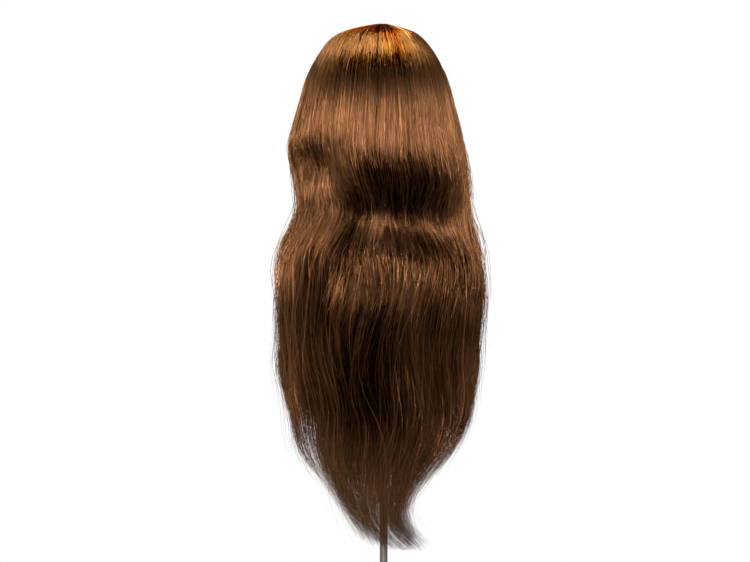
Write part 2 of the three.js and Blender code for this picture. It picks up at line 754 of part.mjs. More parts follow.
// Free space that the hanging hair encloses: round the neck, the tilt joint and the rod, open to the front.
// Each entry is [height, half width, depth behind the rod].
const HOLLOW = [[HAIR_TIP - 20, 26, 9], [290, 34, 18], [360, 58, 36], [440, 84, 54], [510, 92, 72], [630, 94, 76]];

function hollow() {
  const arcPoints = 14;
  return lofted(
    HOLLOW.map(([z, half, back]) => {
      const ring = [];
      for (let j = 0; j <= arcPoints; j++) {
        const turn = (j / arcPoints) * Math.PI;
        ring.push([half * Math.cos(turn), back * (0.25 + 0.75 * Math.sin(turn)), z]);
      }
      return [...ring, [-half, -200, z], [half, -200, z]];
    }),
  );
}

const hair = hairMass();
const scalp = headForm(HAIR_CLEAR, NECK_BASE_Z, outerGrid);
const between = (low, high) => block([-300, -300, low], [300, 300, high]);
const slice = (right, left) => block([right + GAP / 2, -300, 0], [left - GAP / 2, 300, 1000]);
const behind = (y) => block([-300, y + GAP / 2, 0], [300, 300, 1000]);
const ahead = (y) => block([-300, -300, 0], [300, y - GAP / 2, 1000]);
const biggest = (solid) => solid.decompose().sort((a, b) => b.volume() - a.volume())[0];
const addHair = (name, solid) => add(name, hairBrown, biggest(solid));

const PARTING = -14; // the parting runs a little to the right of the middle
const CROWN_Y = 18; // the back of the head starts behind this plane
const MIDDLE = 26; // half width of the middle panel at the back
const PANEL = 84; // outer edge of the back panels

const cap = hair.intersect(between(CAP_BOTTOM, 1000)).subtract(scalp).subtract(faceWindow());
addHair("hair_front_left", cap.intersect(ahead(CROWN_Y)).intersect(slice(PARTING, 300)));
addHair("hair_front_right", cap.intersect(ahead(CROWN_Y)).intersect(slice(-300, PARTING)));
addHair("hair_crown_left", cap.intersect(behind(CROWN_Y)).intersect(slice(PARTING, 300)));
addHair("hair_crown_right", cap.intersect(behind(CROWN_Y)).intersect(slice(-300, PARTING)));

const loose = hair.subtract(hollow()).subtract(scalp);
const bend = loose.intersect(between(FALL_TOP + GAP, CAP_BOTTOM - GAP));
addHair("hair_bend_left", bend.intersect(slice(PANEL, 300)));
addHair("hair_bend_nape", bend.intersect(slice(-PANEL, PANEL)).intersect(behind(0)));
addHair("hair_bend_right", bend.intersect(slice(-300, -PANEL)));

const fall = loose.intersect(between(0, FALL_TOP));
addHair("hair_fall_left", fall.intersect(slice(PANEL, 300)));
addHair("hair_fall_back_left", fall.intersect(slice(MIDDLE, PANEL)).intersect(behind(0)));
addHair("hair_fall_middle", fall.intersect(slice(-MIDDLE, MIDDLE)).intersect(behind(0)));
addHair("hair_fall_back_right", fall.intersect(slice(-PANEL, -MIDDLE)).intersect(behind(0)));
addHair("hair_fall_right", fall.intersect(slice(-300, -PANEL)));

export default model;
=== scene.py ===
"""Looks of a hairdresser's training head on a table stand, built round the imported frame.

Metres, +Z up, the face looks along -Y, and the camera stands behind the head. Hair is two things: a ridged
mass that closes the volume, and thousands of fine strands over it. Lengths in mm are multiplied by MM.
"""
import json
import math

import bmesh
import bpy
import numpy as np
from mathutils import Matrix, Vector

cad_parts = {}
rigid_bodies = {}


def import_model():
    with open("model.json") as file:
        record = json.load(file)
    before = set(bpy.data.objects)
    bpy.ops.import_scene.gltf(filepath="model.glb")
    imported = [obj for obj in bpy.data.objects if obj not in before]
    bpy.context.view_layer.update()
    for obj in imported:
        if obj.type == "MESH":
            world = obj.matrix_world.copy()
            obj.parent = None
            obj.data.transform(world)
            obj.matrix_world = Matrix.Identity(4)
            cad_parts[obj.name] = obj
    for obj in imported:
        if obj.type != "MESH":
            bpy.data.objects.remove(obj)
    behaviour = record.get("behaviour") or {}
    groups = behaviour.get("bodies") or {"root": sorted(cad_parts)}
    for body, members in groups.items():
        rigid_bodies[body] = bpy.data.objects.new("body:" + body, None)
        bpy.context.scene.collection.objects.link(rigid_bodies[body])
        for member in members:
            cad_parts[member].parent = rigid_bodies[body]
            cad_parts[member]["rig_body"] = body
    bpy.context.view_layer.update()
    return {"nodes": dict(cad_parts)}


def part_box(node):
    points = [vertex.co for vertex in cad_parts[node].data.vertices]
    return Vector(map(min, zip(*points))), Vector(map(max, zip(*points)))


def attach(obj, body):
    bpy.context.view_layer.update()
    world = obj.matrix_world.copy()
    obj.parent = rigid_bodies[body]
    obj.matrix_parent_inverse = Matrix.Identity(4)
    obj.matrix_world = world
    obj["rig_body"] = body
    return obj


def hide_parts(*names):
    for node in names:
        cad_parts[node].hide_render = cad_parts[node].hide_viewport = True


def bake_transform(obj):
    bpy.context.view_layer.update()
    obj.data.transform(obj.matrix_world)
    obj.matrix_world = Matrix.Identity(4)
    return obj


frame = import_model()
rng = np.random.default_rng(7)

MM = 0.001
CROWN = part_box("hair_front_left")[1][2]  # top of the hair

# ------------------------------------------------------------------ node materials


def shader(name):
    material = bpy.data.materials.new(name)
    material.use_nodes = True
    return material, material.node_tree, material.node_tree.nodes["Principled BSDF"]


def set_inputs(node, **values):
    """Sets a node's plain inputs; an underscore stands for the space in a socket's name."""
    for socket, value in values.items():
        node.inputs[socket.replace("_", " ")].default_value = value
    return node


def add_node(tree, kind, **values):
    return set_inputs(tree.nodes.new(f"ShaderNode{kind}"), **values)


def link(tree, *ends):
    """Links (node, output) to (node, input), pair by pair."""
    for (source, output), (target, socket) in ends:
        tree.links.new(source.outputs[output], target.inputs[socket])


def plain(name, colour, roughness, **values):
    material, _, principled = shader(name)
    set_inputs(principled, Base_Color=(*colour, 1), Roughness=roughness, **values)
    return material


# ------------------------------------------------------------------ camera, light and floor

FRAME_WIDTH = 0.900  # what the picture's width spans at the object
FLOOR_SIZE = 2.6
ROOM_GLOW = 0.42  # how bright the room is beside the white wall that the camera faces
VIEW_CENTRE = Vector((0.0106, 0.04, 0.5366))
CAMERA_DISTANCE = 2.4


def make_camera():
    data = bpy.data.cameras.new("camera")
    data.sensor_width = 36
    data.lens = data.sensor_width * CAMERA_DISTANCE / FRAME_WIDTH
    camera = bpy.data.objects.new("camera", data)
    camera.location = VIEW_CENTRE + Vector((0, CAMERA_DISTANCE, 0))
    camera.rotation_euler = (math.radians(90), 0, math.radians(180))
    bpy.context.collection.objects.link(camera)
    bpy.context.scene.camera = camera


def area_light(name, place, aim, size, power, colour=(1, 1, 1)):
    data = bpy.data.lights.new(name, "AREA")
    data.shape = "RECTANGLE"
    data.size, data.size_y = size
    data.energy = power
    data.color = colour
    light = bpy.data.objects.new(name, data)
    light.location = place
    light.rotation_euler = (Vector(aim) - Vector(place)).to_track_quat("-Z", "Y").to_euler()
    bpy.context.collection.objects.link(light)


def make_studio():
    scene = bpy.context.scene
    scene.view_settings.view_transform = "Standard"
    world = bpy.data.worlds.new("studio")
    world.use_nodes = True
    tree = world.node_tree
    background = set_inputs(tree.nodes["Background"], Color=(1, 1, 1, 1))
    direction = add_node(tree, "TexCoord")
    split = add_node(tree, "SeparateXYZ")
    wall = add_node(tree, "MapRange", From_Min=-0.92, From_Max=-0.55, To_Min=1.0, To_Max=ROOM_GLOW)
    wall.interpolation_type = "SMOOTHSTEP"
    link(
        tree,
        ((direction, "Generated"), (split, "Vector")),
        ((split, "Y"), (wall, "Value")),
        ((wall, "Result"), (background, "Strength")),
    )
    scene.world = world
    area_light("top", (0.25, -0.30, 2.05), (0.02, 0.03, 0.80), (1.5, 0.2), 135, (0.86, 0.97, 1))
    for side in (1, -1):
        area_light("side", (side * 1.9, 0.9, 1.1), (0, 0, 0.60), (0.5, 1.3), 60)
    area_light("back", (0.35, 2.3, 1.20), (0, 0, 0.62), (1.6, 1.0), 290)
    bpy.ops.mesh.primitive_plane_add(size=FLOOR_SIZE)
    floor = bpy.context.object
    floor.name = "floor"
    floor.data.materials.append(plain("floor_paint", (0.30, 0.30, 0.30), 0.7))


# ------------------------------------------------------------------ hair: the shape it hangs in


def smooth(t):
    t = np.clip(t, 0, 1)
    return t * t * (3 - 2 * t)


def profile(*pairs):
    """A smooth curve through (drop below the crown, reach) pairs in millimetres, as a function in metres."""
    x, y = np.array(pairs, float).T * MM
    slope = np.gradient(y, x)

    def read(at):
        at = np.clip(at, x[0], x[-1])
        i = np.clip(np.searchsorted(x, at) - 1, 0, len(x) - 2)
        h = x[i + 1] - x[i]
        t = (at - x[i]) / h
        return (
            (2 * t**3 - 3 * t**2 + 1) * y[i]
            + (t**3 - 2 * t**2 + t) * h * slope[i]
            + (-2 * t**3 + 3 * t**2) * y[i + 1]
            + (t**3 - t**2) * h * slope[i + 1]
        )

    return read


reach_left = profile(
    (0, 8), (4, 29), (10, 50), (18, 64), (30, 74), (60, 90), (101, 101), (160, 111), (225, 101), (285, 119),
    (330, 125), (418, 124), (470, 112), (525, 101), (560, 76), (595, 54), (640, 24),
)
reach_right = profile(
    (0, 5), (4, 19), (10, 37), (18, 48), (30, 58), (60, 73), (101, 83), (160, 94), (225, 104), (275, 110),
    (360, 120),
    (450, 107), (515, 88), (560, 54), (595, 31), (640, 26),
)
reach_back = profile(
    (0, 4), (8, 27), (30, 58), (55, 86), (85, 101), (125, 107), (170, 108), (205, 104), (240, 101),
    (275, 103), (315, 106), (345, 104), (380, 95), (435, 81), (520, 60), (590, 42), (640, 26),
)
reach_front = profile(
    (0, 8), (8, 38), (28, 68), (50, 90), (90, 98), (150, 82), (210, 66), (290, 55), (390, 42), (475, 22),
    (560, 2), (640, -6),
)
thickness = profile(
    (0, 6), (35, 9), (65, 14), (115, 20), (205, 22), (265, 30), (335, 33), (435, 28), (525, 20), (640, 8),
)
DOME_R = 0.092  # the crown is about this round
SQUARENESS = 0.9  # below 1, a slice of the hair is squarer than an ellipse
HEART = CROWN - 0.10  # inner layers shrink towards this height
FRONT_EDGE = math.radians(122)  # the hair leaves the face open beyond this angle from the back
HAIRLINE = 0.042  # drop of the front hairline at the parting
TEMPLE = 0.125  # drop at which the front edge hangs straight


def drop_along(s):
    """Drop below the crown after a strand has run a length s over the dome and down."""
    over = np.clip(s / DOME_R, 0, math.pi / 2)
    return DOME_R * (1 - np.cos(over)) + np.maximum(0, s - DOME_R * math.pi / 2)


def side_reach(drop, turn):
    """Reach to the side that the angle points to, blended softly across the middle."""
    left = smooth(turn / 0.5 + 0.5)
    return left * reach_left(drop) + (1 - left) * reach_right(drop)


def squared(wave):
    return np.sign(wave) * np.abs(wave) ** SQUARENESS


def place(turn, drop, depth):
    """Point of the hair at an angle from the back (+ is the head's left), a drop and a depth in metres."""
    back, front = reach_back(drop), reach_front(drop)
    left, right = reach_left(drop), reach_right(drop)
    x = (left - right) / 2 + (left + right) / 2 * squared(np.sin(turn))
    y = (back - front) / 2 + (back + front) / 2 * squared(np.cos(turn))
    point = np.stack([x, y, CROWN - drop], -1)
    heart = np.stack([0 * x, 0.004 + 0 * y, np.minimum(CROWN - drop, HEART)], -1)
    inward = heart - point
    length = np.linalg.norm(inward, axis=-1, keepdims=True)
    return point + inward / np.maximum(length, 1e-6) * np.asarray(depth)[..., None]


def front_edge(drop):
    """Angle of the hair's front edge: closed at the parting, open below the hairline."""
    t = np.clip((drop - HAIRLINE) / (TEMPLE - HAIRLINE), 0, 1)
    return math.pi - (math.pi - FRONT_EDGE) * np.sqrt(t)


# ------------------------------------------------------------------ hair: how it flows

MERIDIAN = math.radians(75)  # strands behind this angle run straight down from the crown
LAYER_SPREAD = 0.16  # how far apart in the waves the outermost and innermost locks are
SWEEP_DROP = 0.585  # below this drop the tips curve to the right


def drifting(cells, low, high):
    """A smooth random function of q, the strand's place round the head from -1 (right) to 1 (left)."""
    values = rng.uniform(low, high, cells + 3)

    def read(q):
        x = np.clip((q + 1) / 2, 0, 1) * cells
        i = x.astype(int)
        t = smooth(x - i)
        return values[i] * (1 - t) + values[i + 1] * t

    return read


class Tuck:
    """A place where the hair is pressed in, as under a bulge or between two locks, in metres of depth."""

    def __init__(self, q, q_width, drop, drop_width, size, lean=0.0):
        self.q, self.q_width, self.drop, self.drop_width = q, q_width, drop, drop_width
        self.size, self.lean = size, lean

    def at(self, q, drop):
        down = (drop - self.drop) / self.drop_width
        across = (q - self.q - self.lean * (drop - self.drop)) / self.q_width
        edge = 1 / (1 + np.abs(across) ** 4)
        steep = smooth((down + 1) / 0.75) * (1 - smooth((down + 0.1) / 1.1))
        return self.size * edge * steep


tucks = [
    Tuck(-0.09, 0.34, 0.240, 0.044, 0.028),  # under the bulge at the back of the head
    Tuck(0.46, 0.15, 0.182, 0.030, 0.016),  # over the left lock
    Tuck(0.215, 0.050, 0.265, 0.095, 0.024, lean=-0.4),  # between the left lock and the back
    Tuck(-0.05, 0.50, 0.400, 0.110, 0.010),  # where the back starts to fall inwards
]


class Wave:
    """A wave that runs down the hair, with a phase that drifts round the head."""

    def __init__(self, length, size, cells, starts=0.10):
        self.length, self.size, self.starts = length, size, starts
        self.phase = drifting(cells, -2.2, 2.2)
        self.strength = drifting(cells, 0.35, 1.0)

    def at(self, q, drop):
        grown = smooth((drop - self.starts) / 0.14)
        swing = np.sin(2 * math.pi * drop / self.length + self.phase(q))
        return self.size * grown * self.strength(q) * swing


sideways = [Wave(0.31, 0.009, 7), Wave(0.17, 0.0060, 22, starts=0.18), Wave(0.085, 0.0008, 40)]
inwards = [Wave(0.16, 0.0035, 9), Wave(0.075, 0.0014, 30)]


def towards_front(q):
    """A strand's final angle from the back, and its share of the way from the meridian to the front edge."""
    final = np.abs(q) * FRONT_EDGE
    return final, np.clip((final - MERIDIAN) / (FRONT_EDGE - MERIDIAN), 0, 1)


def flow(q, s, depth_share, layer):
    """Points of strands: q, s (length run from the crown), depth share and layer broadcast to one shape.

    The layer, from -1 to 1, makes neighbouring locks wave apart from each other."""
    drop = drop_along(s)
    final, front = towards_front(q)
    root_drop = HAIRLINE * front
    settled = 0.03 + (TEMPLE - 0.03) * front
    start_turn = final + (math.pi - final) * smooth(front / 0.3)
    t = np.clip((drop - root_drop) / (settled - root_drop), 0, 1)
    turn = np.sign(q) * (start_turn + (final - start_turn) * np.sqrt(t))
    shift = sum(wave.at(q + LAYER_SPREAD * layer, drop) for wave in sideways)
    sweep = (0.004 + 0.030 * smooth(0.5 - q / 0.5)) * np.clip((drop - SWEEP_DROP) / 0.05, 0, 1.15) ** 2
    depth = depth_share * thickness(drop) + sum(each.at(q, drop) for each in inwards + tucks)
    round_reach = np.maximum(side_reach(drop, turn), 0.02)
    point = place(turn + shift / round_reach, drop, depth)
    point[..., 0] -= sweep
    return point


def root_length(q):
    """How far from the crown, along the dome, the parting lets a strand start."""
    front = towards_front(q)[1]
    return DOME_R * np.arccos(1 - HAIRLINE * front / DOME_R)


# ------------------------------------------------------------------ hair: meshes


def mesh_object(name, points, faces, materials, shades=None, smooth_faces=True):
    """A mesh from an (n, 3) array and an (m, 3 or 4) array of vertex numbers, or a list of such arrays."""
    groups = faces if isinstance(faces, list) else [faces]
    mesh = bpy.data.meshes.new(name)
    mesh.vertices.add(len(points))
    mesh.vertices.foreach_set("co", np.ascontiguousarray(points, dtype=np.float32).ravel())
    loops = np.concatenate([g.ravel() for g in groups])
    totals = np.concatenate([np.full(len(g), g.shape[1]) for g in groups])
    mesh.loops.add(len(loops))
    mesh.loops.foreach_set("vertex_index", loops.astype(np.int32))
    mesh.polygons.add(len(totals))
    starts = np.concatenate([[0], np.cumsum(totals)[:-1]])
    mesh.polygons.foreach_set("loop_start", starts.astype(np.int32))
    mesh.polygons.foreach_set("loop_total", totals.astype(np.int32))
    for material in materials:
        mesh.materials.append(material)
    if shades is not None:
        mesh.polygons.foreach_set("material_index", shades.astype(np.int32))
    mesh.polygons.foreach_set("use_smooth", np.full(len(totals), smooth_faces))
    mesh.update(calc_edges=True)
    obj = bpy.data.objects.new(name, mesh)
    bpy.context.collection.objects.link(obj)
    return obj


def rings_joined(first, closed=False):
    """Four-sided faces between rows of vertex numbers; a closed section joins its last row to the first."""
    low, high = (first, np.roll(first, -1, 0)) if closed else (first[:-1], first[1:])
    return np.stack([low, np.roll(low, -1, 1), np.roll(high, -1, 1), high], -1).reshape(-1, 4)


def capped(points, first, flip_first):
    """Adds a middle point to the first and last rings, with the fans of faces that shut them."""
    fans = []
    for ring, flip in ((first[0], flip_first), (first[-1], not flip_first)):
        points = np.vstack([points, points[ring].mean(0)])
        fan = np.stack([ring, np.roll(ring, -1), np.full(len(ring), len(points) - 1)], -1)
        fans.append(fan[:, ::-1] if flip else fan)
    return points, fans


STRAND_SIDES = 3
# Where a strand's rings are, as shares of its length: closer together near the root.
ROOT_RINGS = [0, 0.004, 0.009, 0.016]
STRAND_RUN = np.concatenate([ROOT_RINGS, np.linspace(0.026, 0.2, 11), np.linspace(0.235, 1, 21)])


def strand_tubes(name, paths, radii, shades, materials):
    """Thin closed tubes: paths (strands, steps, 3), radii (strands, steps), shades (strands, steps - 1)."""
    count, steps, _ = paths.shape
    along = np.gradient(paths, axis=1)
    along /= np.maximum(np.linalg.norm(along, axis=-1, keepdims=True), 1e-9)
    guide = np.zeros_like(along)
    guide[..., 1] = 1.0
    across = np.cross(along, guide)
    across /= np.maximum(np.linalg.norm(across, axis=-1, keepdims=True), 1e-6)
    over = np.cross(along, across)
    angles = np.arange(STRAND_SIDES) * 2 * math.pi / STRAND_SIDES
    ring = (
        across[:, :, None] * np.cos(angles)[None, None, :, None]
        + over[:, :, None] * np.sin(angles)[None, None, :, None]
    )
    points = paths[:, :, None] + ring * radii[:, :, None, None]
    first = np.arange(count * steps * STRAND_SIDES).reshape(count, steps, STRAND_SIDES)
    low, high = first[:, :-1], first[:, 1:]
    walls = np.stack([low, np.roll(low, -1, 2), np.roll(high, -1, 2), high], -1)
    wall_shades = np.repeat(shades[:, :, None], STRAND_SIDES, 2)
    root_caps = first[:, 0, ::-1]
    tip_caps = first[:, -1]
    faces = [walls.reshape(-1, 4), root_caps, tip_caps]
    all_shades = np.concatenate([wall_shades.ravel(), shades[:, 0], shades[:, -1]])
    return mesh_object(name, points.reshape(-1, 3), faces, materials, all_shades)


SHADE_COUNT = 11
SHEEN = (0.72, 0.53, 0.38)  # colour of the light that glances off the hair
DARKEST = (0.0048, 0.0018, 0.00052)
SHADE_STEP = (1.40, 1.42, 1.475)  # each shade of brown is this much lighter than the one before


def strand_materials():
    made = []
    # Eleven browns: the strands' own tones, and the painted light and shade of the areas they pass through.
    for i in range(SHADE_COUNT):
        colour = [first * step**i for first, step in zip(DARKEST, SHADE_STEP)]
        # the sheen's tint grows with the shade, so strands given painted shade also reflect less
        share = 0.04 + 0.96 * (i / (SHADE_COUNT - 1)) ** 1.8
        tint = (*(share * channel for channel in SHEEN), 1)
        made.append(plain(f"hair_shade_{i + 1}", colour, 0.32, Metallic=1.0, Specular_Tint=tint))
    return made


class PaintedLight:
    """Painted light and shade: an area of the hair whose strands are given lighter or deeper shades, in
    place of highlights and shadows, seen from behind: x and z in metres.
    """

    def __init__(self, x, x_half, z, z_half, shades, soft=0.4):
        self.x, self.x_half, self.z, self.z_half, self.shades, self.soft = x, x_half, z, z_half, shades, soft

    def at(self, x, z):
        away = np.maximum(np.abs(x - self.x) / self.x_half, np.abs(z - self.z) / self.z_half)
        return self.shades * (1 - smooth((away - 1 + self.soft) / (2 * self.soft)))


# Painted light and shade on the strands: sheen, highlights and shadows given as shades, not the hair's own
# colour.
painted_light_areas = [
    PaintedLight(0, 0.3, CROWN - 0.004, 0.014, -4.2, 0.25),  # painted shade at the roots
    PaintedLight(0.016, 0.3, CROWN - 0.032, 0.010, 4.2, 0.5),  # sheen on the crown
    PaintedLight(-0.026, 0.026, CROWN - 0.036, 0.014, -4.0, 0.5),  # the sheen is weaker to the right
    PaintedLight(0.012, 0.050, CROWN - 0.056, 0.012, -6.0, 0.4),  # painted shade below the sheen
    PaintedLight(-0.008, 0.016, CROWN - 0.056, 0.012, -2.0, 0.5),
    PaintedLight(-0.054, 0.026, 0.778, 0.026, 3.4, 0.5),  # painted light on the right edge
    PaintedLight(0.086, 0.016, 0.770, 0.020, 3.0, 0.5),
    PaintedLight(0, 0.3, 0.745, 0.045, 0.9, 0.5),
    PaintedLight(0.004, 0.024, 0.684, 0.012, 3.2, 0.4),  # painted highlight where the bulge at the back turns under
    PaintedLight(0.086, 0.028, 0.686, 0.014, -4.0, 0.5),  # painted shade over the left lock
    PaintedLight(0.054, 0.012, 0.658, 0.026, 4.2, 0.4),  # painted highlight on the edge of the left lock
    PaintedLight(-0.018, 0.052, 0.650, 0.029, -6.8, 0.2),  # painted shadow under the bulge at the back
    PaintedLight(0.037, 0.012, 0.598, 0.044, -3.4, 0.4),  # painted shade between the left lock and the back
    PaintedLight(-0.024, 0.010, 0.604, 0.012, -2.4, 0.5),
    PaintedLight(-0.004, 0.028, 0.587, 0.012, 4.2, 0.5),
    PaintedLight(0.010, 0.060, 0.560, 0.014, -2.8, 0.7),
    PaintedLight(0.005, 0.045, 0.520, 0.016, 3.4, 0.5),
    PaintedLight(0.072, 0.016, 0.526, 0.042, -5.2, 0.5),
    PaintedLight(-0.084, 0.020, 0.544, 0.020, -4.6, 0.5),
    PaintedLight(-0.085, 0.022, 0.670, 0.090, 1.0, 0.5),
    PaintedLight(-0.102, 0.010, 0.508, 0.012, 4.0, 0.5),
    PaintedLight(0.046, 0.014, 0.488, 0.026, 4.8, 0.5),
    PaintedLight(-0.060, 0.012, 0.492, 0.022, -2.6, 0.5),
    PaintedLight(0.022, 0.034, 0.440, 0.070, -5.8, 0.35),  # painted shade where the back falls inwards
    PaintedLight(0.000, 0.090, 0.420, 0.076, -1.2, 0.14),
    PaintedLight(0.076, 0.020, 0.345, 0.030, 2.4, 0.5),
    PaintedLight(-0.074, 0.020, 0.345, 0.030, 2.6, 0.5),
    PaintedLight(0.113, 0.014, 0.430, 0.080, 2.6, 0.5),  # thin edges let light through
    PaintedLight(-0.106, 0.014, 0.410, 0.045, 3.4, 0.5),
    PaintedLight(0, 0.3, 0.230, 0.078, 3.2, 0.5),  # so do thin tips
]


def strand_radii(thick):
    t = STRAND_RUN
    taper = (0.55 + 0.45 * smooth(t / 0.06)) * (1 - 0.8 * smooth((t - 0.7) / 0.3))
    return thick[:, None] * taper[None]


BUNDLE, LOCK = 0.0045, 0.033  # widths of q over which strands gather, from root to tip and at the tips


def clumped(q, width, strength):
    """Pulls strands towards the middles of bundles of a width."""
    cell = np.floor(q / width)
    jitter = np.sin(cell * 12.9898) * 0.3
    return q + ((cell + 0.5 + jitter) * width - q) * strength


def grow(q, start, end, share, wander):
    """Paths of strands from start to end (lengths from the crown), at a depth share, with own wander."""
    count = len(q)
    s = start[:, None] + (end - start)[:, None] * STRAND_RUN[None]
    ageing = np.clip((s - 0.05) / 0.6, 0, 1)
    around = clumped(q, BUNDLE, 0.55)[:, None]
    gathered = 0.08 + 0.30 * ageing**1.4 + 0.28 * smooth((ageing - 0.72) / 0.28)
    around = around + (clumped(q, LOCK, 1.0) - q)[:, None] * gathered
    cell = np.floor(q / LOCK)
    lift = np.sin(cell * 78.233)[:, None] * 0.05 * smooth(ageing * 3)  # a fixed random lift for each lock
    sink = 0.25 * np.exp(-(s - start[:, None]) / 0.003)
    layer = np.sin(cell * 31.77)[:, None] * (0.4 + 0.6 * rng.random((count, 1)))
    path = flow(np.clip(around, -1, 1), s, share[:, None] + lift + sink, layer)
    phase = rng.uniform(0, 2 * math.pi, (count, 3, 2))
    bend = np.zeros_like(path)
    for k, (wavelength, size) in enumerate([(0.42, 1.0), (0.23, 0.35), (0.09, 0.06)]):
        for axis in (0, 1):
            swing = 2 * math.pi * s / wavelength + phase[:, k, axis : axis + 1]
            bend[..., axis] += size * np.sin(swing)
    lean = rng.normal(0, 0.013, (count, 1)) * (1 - 0.6 * np.abs(q)[:, None])
    path[..., 0] += lean * np.maximum(s - 0.20, 0)
    loose = smooth(ageing * 2.2) + 2.4 * np.clip((ageing - 0.7) / 0.4, 0, 1) ** 2
    return path + bend * wander[:, None, None] * loose[..., None]


def settle(piece, *nodes):
    """Bakes the hair's placement into its mesh and hides the CAD solids that it stands for."""
    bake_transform(piece)
    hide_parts(*nodes)


LONGEST = 0.692  # length of the longest strands, from the crown
UNEVENNESS = 0.27  # how much shorter the shortest are


def tip_length(q):
    """How far strands reach: the back hangs longest, and some hairs are shorter."""
    turn = np.abs(q)
    longest = LONGEST - 0.120 * turn**1.6
    evenness = 2.0 - 1.50 * smooth((turn - 0.18) / 0.37)
    return longest - UNEVENNESS * rng.random(len(q)) ** evenness


LATEST_ROOT = 0.085  # how far from the parting the outer strands still start
INNER_SHARE = 0.20  # of the strands, how many start low and hang deep inside
STRAY_SHARE = 0.045  # how many wander off as flyaways
USUAL_SHADE, SHADE_SPREAD = 6.4, 0.9  # of a strand, before the painted light and shade of its area


def hair_section(name, low, high, count, nodes, materials, cover_roots=False):
    """The strands between two places round the head. Strands that cover roots all start at the parting."""
    q = rng.uniform(low, high, count)
    later = 0 if cover_roots else LATEST_ROOT
    start = root_length(q) + later * np.maximum((rng.random(count) - 0.3) / 0.7, 0) ** 2
    share = rng.uniform(0.0, 0.30, count)
    inner = rng.random(count) < (0 if cover_roots else INNER_SHARE)
    start = np.where(inner, np.maximum(start, rng.uniform(0.12, 0.24, count)), start)
    share = np.where(inner, rng.uniform(0.55, 1.0, count), share)
    stray = rng.random(count) < STRAY_SHARE
    wander = np.where(stray, rng.uniform(0.003, 0.009, count), rng.uniform(0.0005, 0.0018, count))
    share = np.where(stray, share * 0.2 - 0.06, share)
    paths = grow(q, start, tip_length(q), share, wander)
    radii = strand_radii(rng.uniform(0.00024, 0.00036, count))
    own = USUAL_SHADE + SHADE_SPREAD * rng.normal(0, 1, count) + 0.5 * np.sin(np.floor(q / 0.009) * 45.164)
    # flyaways are painted lighter, for the light that thin loose hairs catch
    own = np.where(stray, own + 1.8, own)
    middle = (paths[:, 1:] + paths[:, :-1]) / 2
    blur = rng.normal(0, 0.007, (count, 1))
    # painted light and shade of the areas each strand passes through, then a random tone for each lock;
    # flyaways take less of the painted light and shade
    area = sum(tone.at(middle[..., 0] + blur, middle[..., 2] + blur) for tone in painted_light_areas)
    lock = np.floor((q + rng.normal(0, 0.003, count)) / 0.027)
    area = area + 0.9 * np.sin(lock * 91.7)[:, None] * smooth((CROWN - middle[..., 2] - 0.12) / 0.25)
    shades = np.clip(np.round(own[:, None] + area * np.where(stray, 0.4, 1.0)[:, None]), 0, SHADE_COUNT - 1)
    piece = strand_tubes(name, paths, radii, shades, materials)
    settle(piece, *nodes)


# Sections from the right front edge round the back to the left one, with the CAD solids each stands for.
HAIR_SECTIONS = [
    ("front_right", -1.0, -0.72, ["hair_front_right", "hair_fall_right", "hair_bend_right"]),
    ("side_right", -0.72, -0.45, ["hair_front_right", "hair_fall_right", "hair_bend_right"]),
    ("back_right", -0.45, -0.15, ["hair_crown_right", "hair_fall_back_right"]),
    ("middle", -0.15, 0.15, ["hair_crown_right", "hair_crown_left", "hair_fall_middle", "hair_bend_nape"]),
    ("back_left", 0.15, 0.45, ["hair_crown_left", "hair_fall_back_left"]),
    ("side_left", 0.45, 0.72, ["hair_front_left", "hair_fall_left", "hair_bend_left"]),
    ("front_left", 0.72, 1.0, ["hair_front_left", "hair_fall_left", "hair_bend_left"]),
]
STRANDS_PER_PIECE = 880
PIECES_PER_SECTION = 3


def hair_mass_material():
    material, tree, principled = shader("hair_underlayer")
    along = add_node(tree, "UVMap")
    stretch = add_node(tree, "Mapping", Scale=(260, 5, 1))
    noise = add_node(tree, "TexNoise", Scale=1.0, Detail=4)
    # the underlayer's browns are darker than the strands' own: a painted shade for the depth of hair under
    # them
    ramp = add_node(tree, "ValToRGB")
    deep, light = ramp.color_ramp.elements
    deep.position, deep.color = 0.3, (0.003, 0.0012, 0.0005, 1)
    light.position, light.color = 0.75, (0.016, 0.0064, 0.0025, 1)
    link(
        tree,
        ((along, "UV"), (stretch, "Vector")),
        ((stretch, "Vector"), (noise, "Vector")),
        ((noise, "Fac"), (ramp, "Fac")),
        ((ramp, "Color"), (principled, "Base Color")),
    )
    tint = (0.20, 0.12, 0.07, 1)
    set_inputs(principled, Roughness=0.55, Metallic=0.3, Specular_IOR_Level=0.05, Specular_Tint=tint)
    return material


MASS_RAGGED = 0.030  # how much longer or shorter the mass ends from ridge to ridge
MASS_END = 0.585  # length from the crown where the closed mass ends and only strands go on


